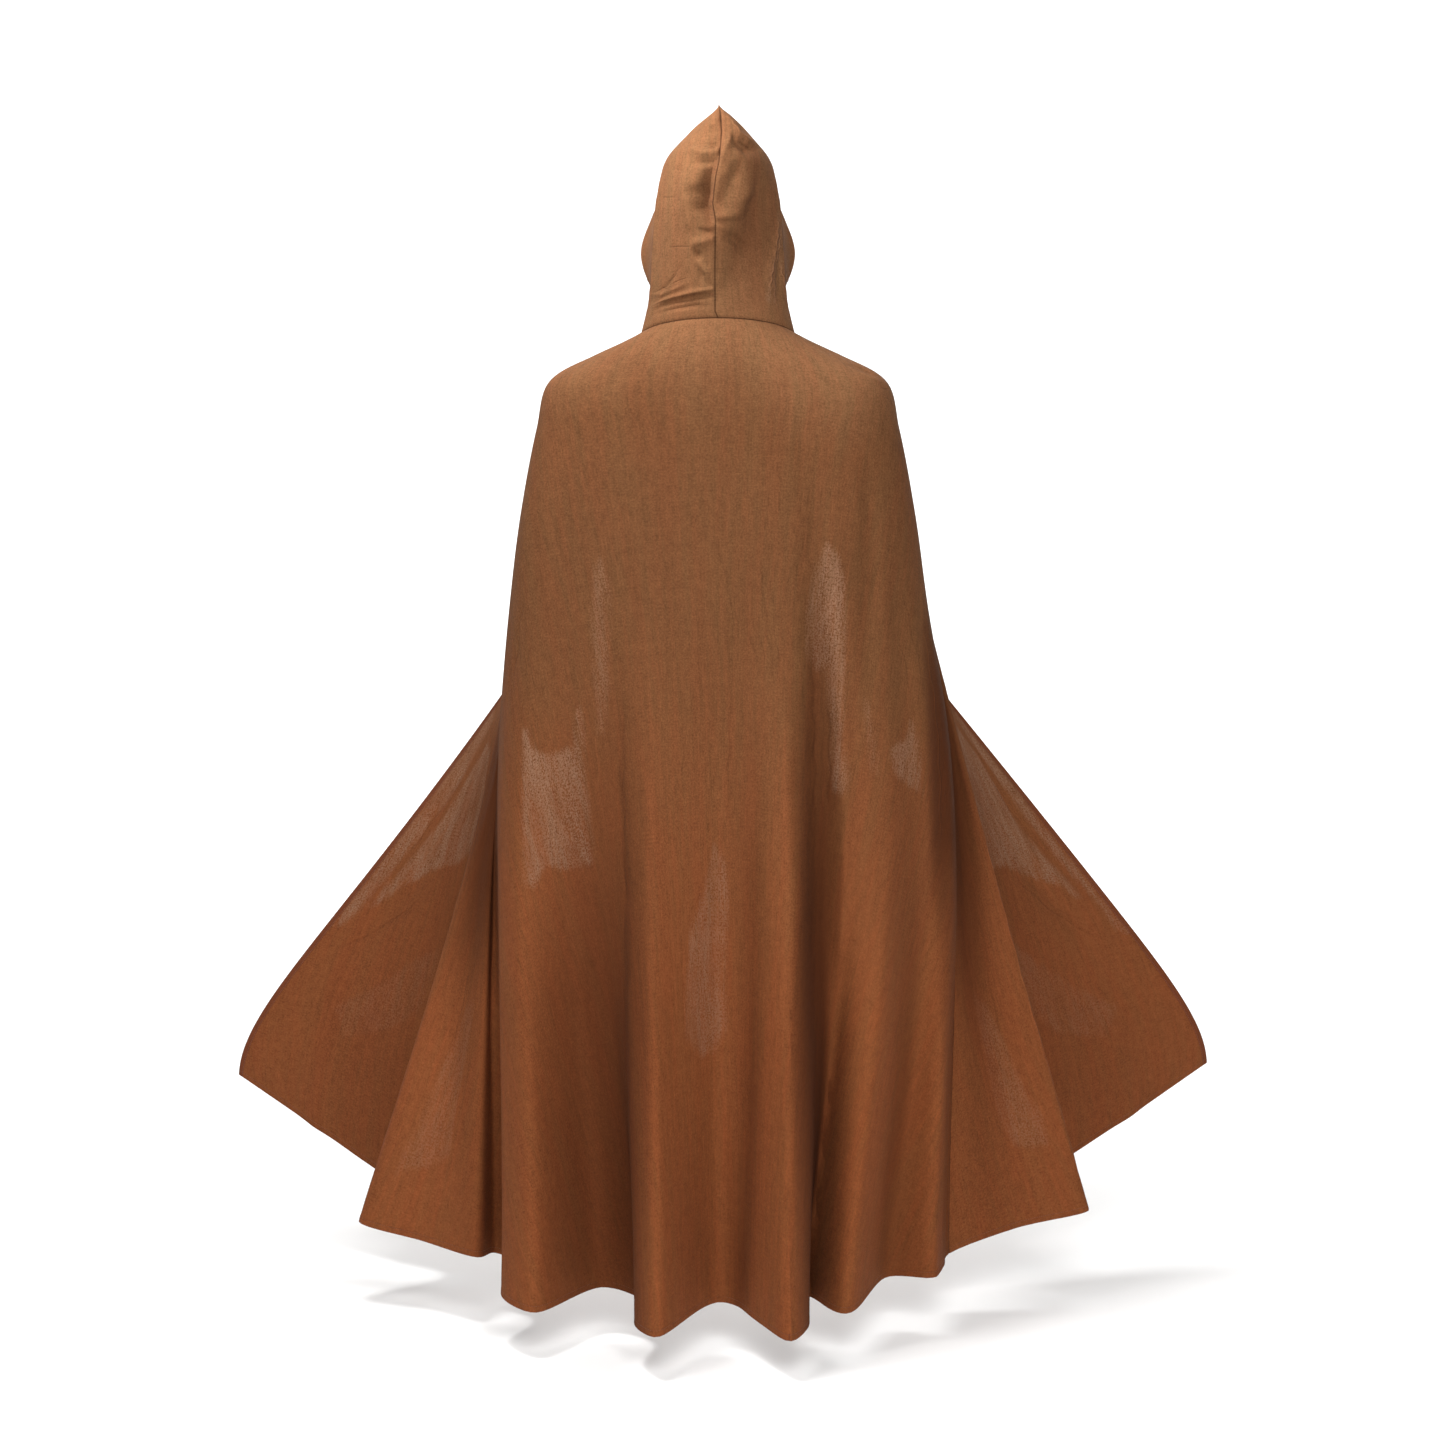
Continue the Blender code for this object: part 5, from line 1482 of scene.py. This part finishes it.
LEFT_HOOD_LINES = {
    "pressed_line": Pressed(0.640, 0.574, 0.810, 0.549, 0.0018, -0.35),
    "pressed_line_two": Pressed(0.725, 0.357, 0.875, 0.340, 0.0018, -0.50),
    "wrinkle": Pressed(0.600, 0.104, 0.980, 0.128, 0.0024, -0.7),
    "wrinkle_two": Pressed(0.650, 0.200, 0.790, 0.150, 0.0018, -0.4),
    "wrinkle_three": Pressed(0.600, 0.165, 0.860, 0.215, 0.0018, -0.5),
    "wrinkle_four": Pressed(0.660, 0.140, 0.820, 0.280, 0.0018, -0.4),
    "crown_line": Pressed(0.690, 0.700, 0.880, 0.640, 0.0020, -0.3),
    "crown_line_two": Pressed(0.760, 0.440, 0.780, 0.640, 0.0020, -0.3),
    "nape_line": Pressed(0.700, 0.060, 0.960, 0.070, 0.0018, -0.4),
    "ear_line": Pressed(0.880, 0.420, 0.985, 0.395, 0.0024, -0.4),
}
RIGHT_HOOD_LINES = {
    "side_line": Pressed(0.619, 0.509, 0.737, 0.118, 0.0026, 2.2),
    "side_line_two": Pressed(0.586, 0.476, 0.694, 0.113, 0.0026, 1.8),
    "side_line_three": Pressed(0.544, 0.481, 0.514, 0.223, 0.0024, 1.6),
    "side_line_four": Pressed(0.604, 0.311, 0.534, 0.135, 0.0024, 1.8),
    "sweep_line": Pressed(0.800, 0.560, 0.850, 0.360, 0.0020, -0.3),
    "crown_line": Pressed(0.970, 0.920, 0.880, 0.822, 0.0024, 0.9),
    "brow_line": Pressed(0.880, 0.822, 0.740, 0.812, 0.0024, 0.7),
    "peak_line": Pressed(0.910, 0.805, 0.790, 0.762, 0.0024, -0.9),
    "ear_line": Pressed(0.990, 0.440, 0.880, 0.448, 0.0022, -0.5),
}
LEFT_HOOD = Relief({}, HOOD_FOLDS, LEFT_HOOD_RIPPLES, LEFT_HOOD_LINES, LEFT_HOOD_SHEER, LEFT_HOOD_FOLD_SHADE)
RIGHT_HOOD = Relief({}, HOOD_FOLDS, RIGHT_HOOD_RIPPLES, RIGHT_HOOD_LINES, RIGHT_HOOD_SHEER, RIGHT_HOOD_FOLD_SHADE)
for name, side, relief in (("hood_left", 1, LEFT_HOOD), ("hood_right", -1, RIGHT_HOOD)):
    half = HoodHalf(name, side, relief)
    sheet = half.make(176, 176, cloth)
    half.band("start", HOOD_HEM, cloth, spacing=0.005)
    half.band("end", ALLOWANCE, cloth, spacing=0.005)
    half.stitching("start", HOOD_HEM - CutPiece.STITCH_IN, thread)
    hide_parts(name)

# NECK BUTTON AND LOOP
# A small turned button on a shank is sewn to the right front's neck corner. A cord loop, caught in the left
# front's edge, goes round the shank and closes the cloak at the neck.
button = bpy.data.objects["neck_button"]
loop = bpy.data.objects["neck_loop"]


def turned_button():
    """Polished brown corozo nut with a fine grain."""
    made, shader, start = new_finish("corozo")
    grain = start.node("ShaderNodeTexCoord", None, None, 3).noise(900, 2600, 3.0, 0.6)
    grain.blend((0.050, 0.020, 0.010, 1.0), (0.120, 0.056, 0.028, 1.0)).feed(shader, "Base Color")
    (0.28 + 0.18 * grain).feed(shader, "Roughness")
    shader.inputs["Coat Weight"].default_value = 0.25
    return made


corozo = turned_button()
for slot in button.material_slots:
    slot.material = corozo
for slot in loop.material_slots:
    slot.material = thread

# FLOOR, LIGHT AND CAMERA
# The cloak hangs in its worn pose just clear of a plain pale sweep, a floor that turns up into a wall far
# off. A large soft box beside the camera lights it, a small one lifts its upper left, and one more lights
# the wall. The camera stands behind the cloak, level with its upper back.
FLOOR_WHITE = (0.90, 0.90, 0.895, 1.0)
# Metres up to the floor, back to the wall and up to its top, and the sweep's bend, half width and front.
FLOOR_Z = -1.460
WALL_Y, WALL_TOP, SWEEP_RADIUS, HALF_WIDTH, NEAR_Y = -9.0, 7.0, 2.5, 14.0, 9.0
turn = np.linspace(0, math.pi / 2, 25)
profile = [(NEAR_Y, FLOOR_Z)]
profile += [
    (WALL_Y + SWEEP_RADIUS * (1 - math.sin(angle)), FLOOR_Z + SWEEP_RADIUS * (1 - math.cos(angle)))
    for angle in turn.tolist()
]
profile.append((WALL_Y, WALL_TOP))
corners = [(x, y, z) for y, z in profile for x in (-HALF_WIDTH, HALF_WIDTH)]
sweep = bpy.data.meshes.new("sweep")
sweep.from_pydata(corners, [], [(2 * k, 2 * k + 2, 2 * k + 3, 2 * k + 1) for k in range(len(profile) - 1)])
sweep.shade_smooth()
floor = bpy.data.objects.new("floor", sweep)
bpy.context.scene.collection.objects.link(floor)
pale = bpy.data.materials.new("pale_floor")
pale.use_nodes = True
pale.node_tree.nodes["Principled BSDF"].inputs["Base Color"].default_value = FLOOR_WHITE
pale.node_tree.nodes["Principled BSDF"].inputs["Roughness"].default_value = 0.9
floor.data.materials.append(pale)

world = bpy.data.worlds.new("studio")
world.use_nodes = True
world.node_tree.nodes["Background"].inputs["Color"].default_value = (1.0, 1.0, 1.0, 1.0)
world.node_tree.nodes["Background"].inputs["Strength"].default_value = 0.30
bpy.context.scene.world = world
bpy.context.scene.view_settings.view_transform = "Standard"

# A soft box stands at x, y and z and faces a point on the middle plane. Its size is in metres.
SoftBox = namedtuple("SoftBox", "x y z to_y to_z size power")
for name, box in {
    "key": SoftBox(-0.35, 3.9, 1.4, 0.0, -0.5, 2.2, 174),
    "side": SoftBox(0.60, 0.45, 1.0, 0.0, 0.1, 0.5, 30),
    "wall": SoftBox(0.0, -4.5, 6.5, -9.0, 0.6, 6.0, 900),
}.items():
    lamp = bpy.data.lights.new(name, "AREA")
    lamp.size, lamp.energy = box.size, box.power
    made = bpy.data.objects.new(name, lamp)
    bpy.context.scene.collection.objects.link(made)
    made.location = (box.x, box.y, box.z)
    toward = np.array([0.0, box.to_y, box.to_z]) - np.array([box.x, box.y, box.z])
    pitch = math.atan2(math.hypot(toward[0], toward[1]), -toward[2])
    made.rotation_euler = (pitch, 0, math.atan2(toward[1], toward[0]) - math.pi / 2)

# The lens in the photograph's pixels, and how many of them the camera is turned down and aside.
FOCAL_PIXELS, DOWN_PIXELS, ASIDE_PIXELS = 3211, 222.5, 4.5
lens = bpy.data.cameras.new("camera")
lens.lens, lens.sensor_width = 80, 36
camera = bpy.data.objects.new("camera", lens)
bpy.context.scene.collection.objects.link(camera)
camera.location = (0.0, 4.75, -0.252)
camera.rotation_euler = (
    math.pi / 2 - math.atan(DOWN_PIXELS / FOCAL_PIXELS), 0, math.pi - math.atan(ASIDE_PIXELS / FOCAL_PIXELS)
)
bpy.context.scene.camera = camera
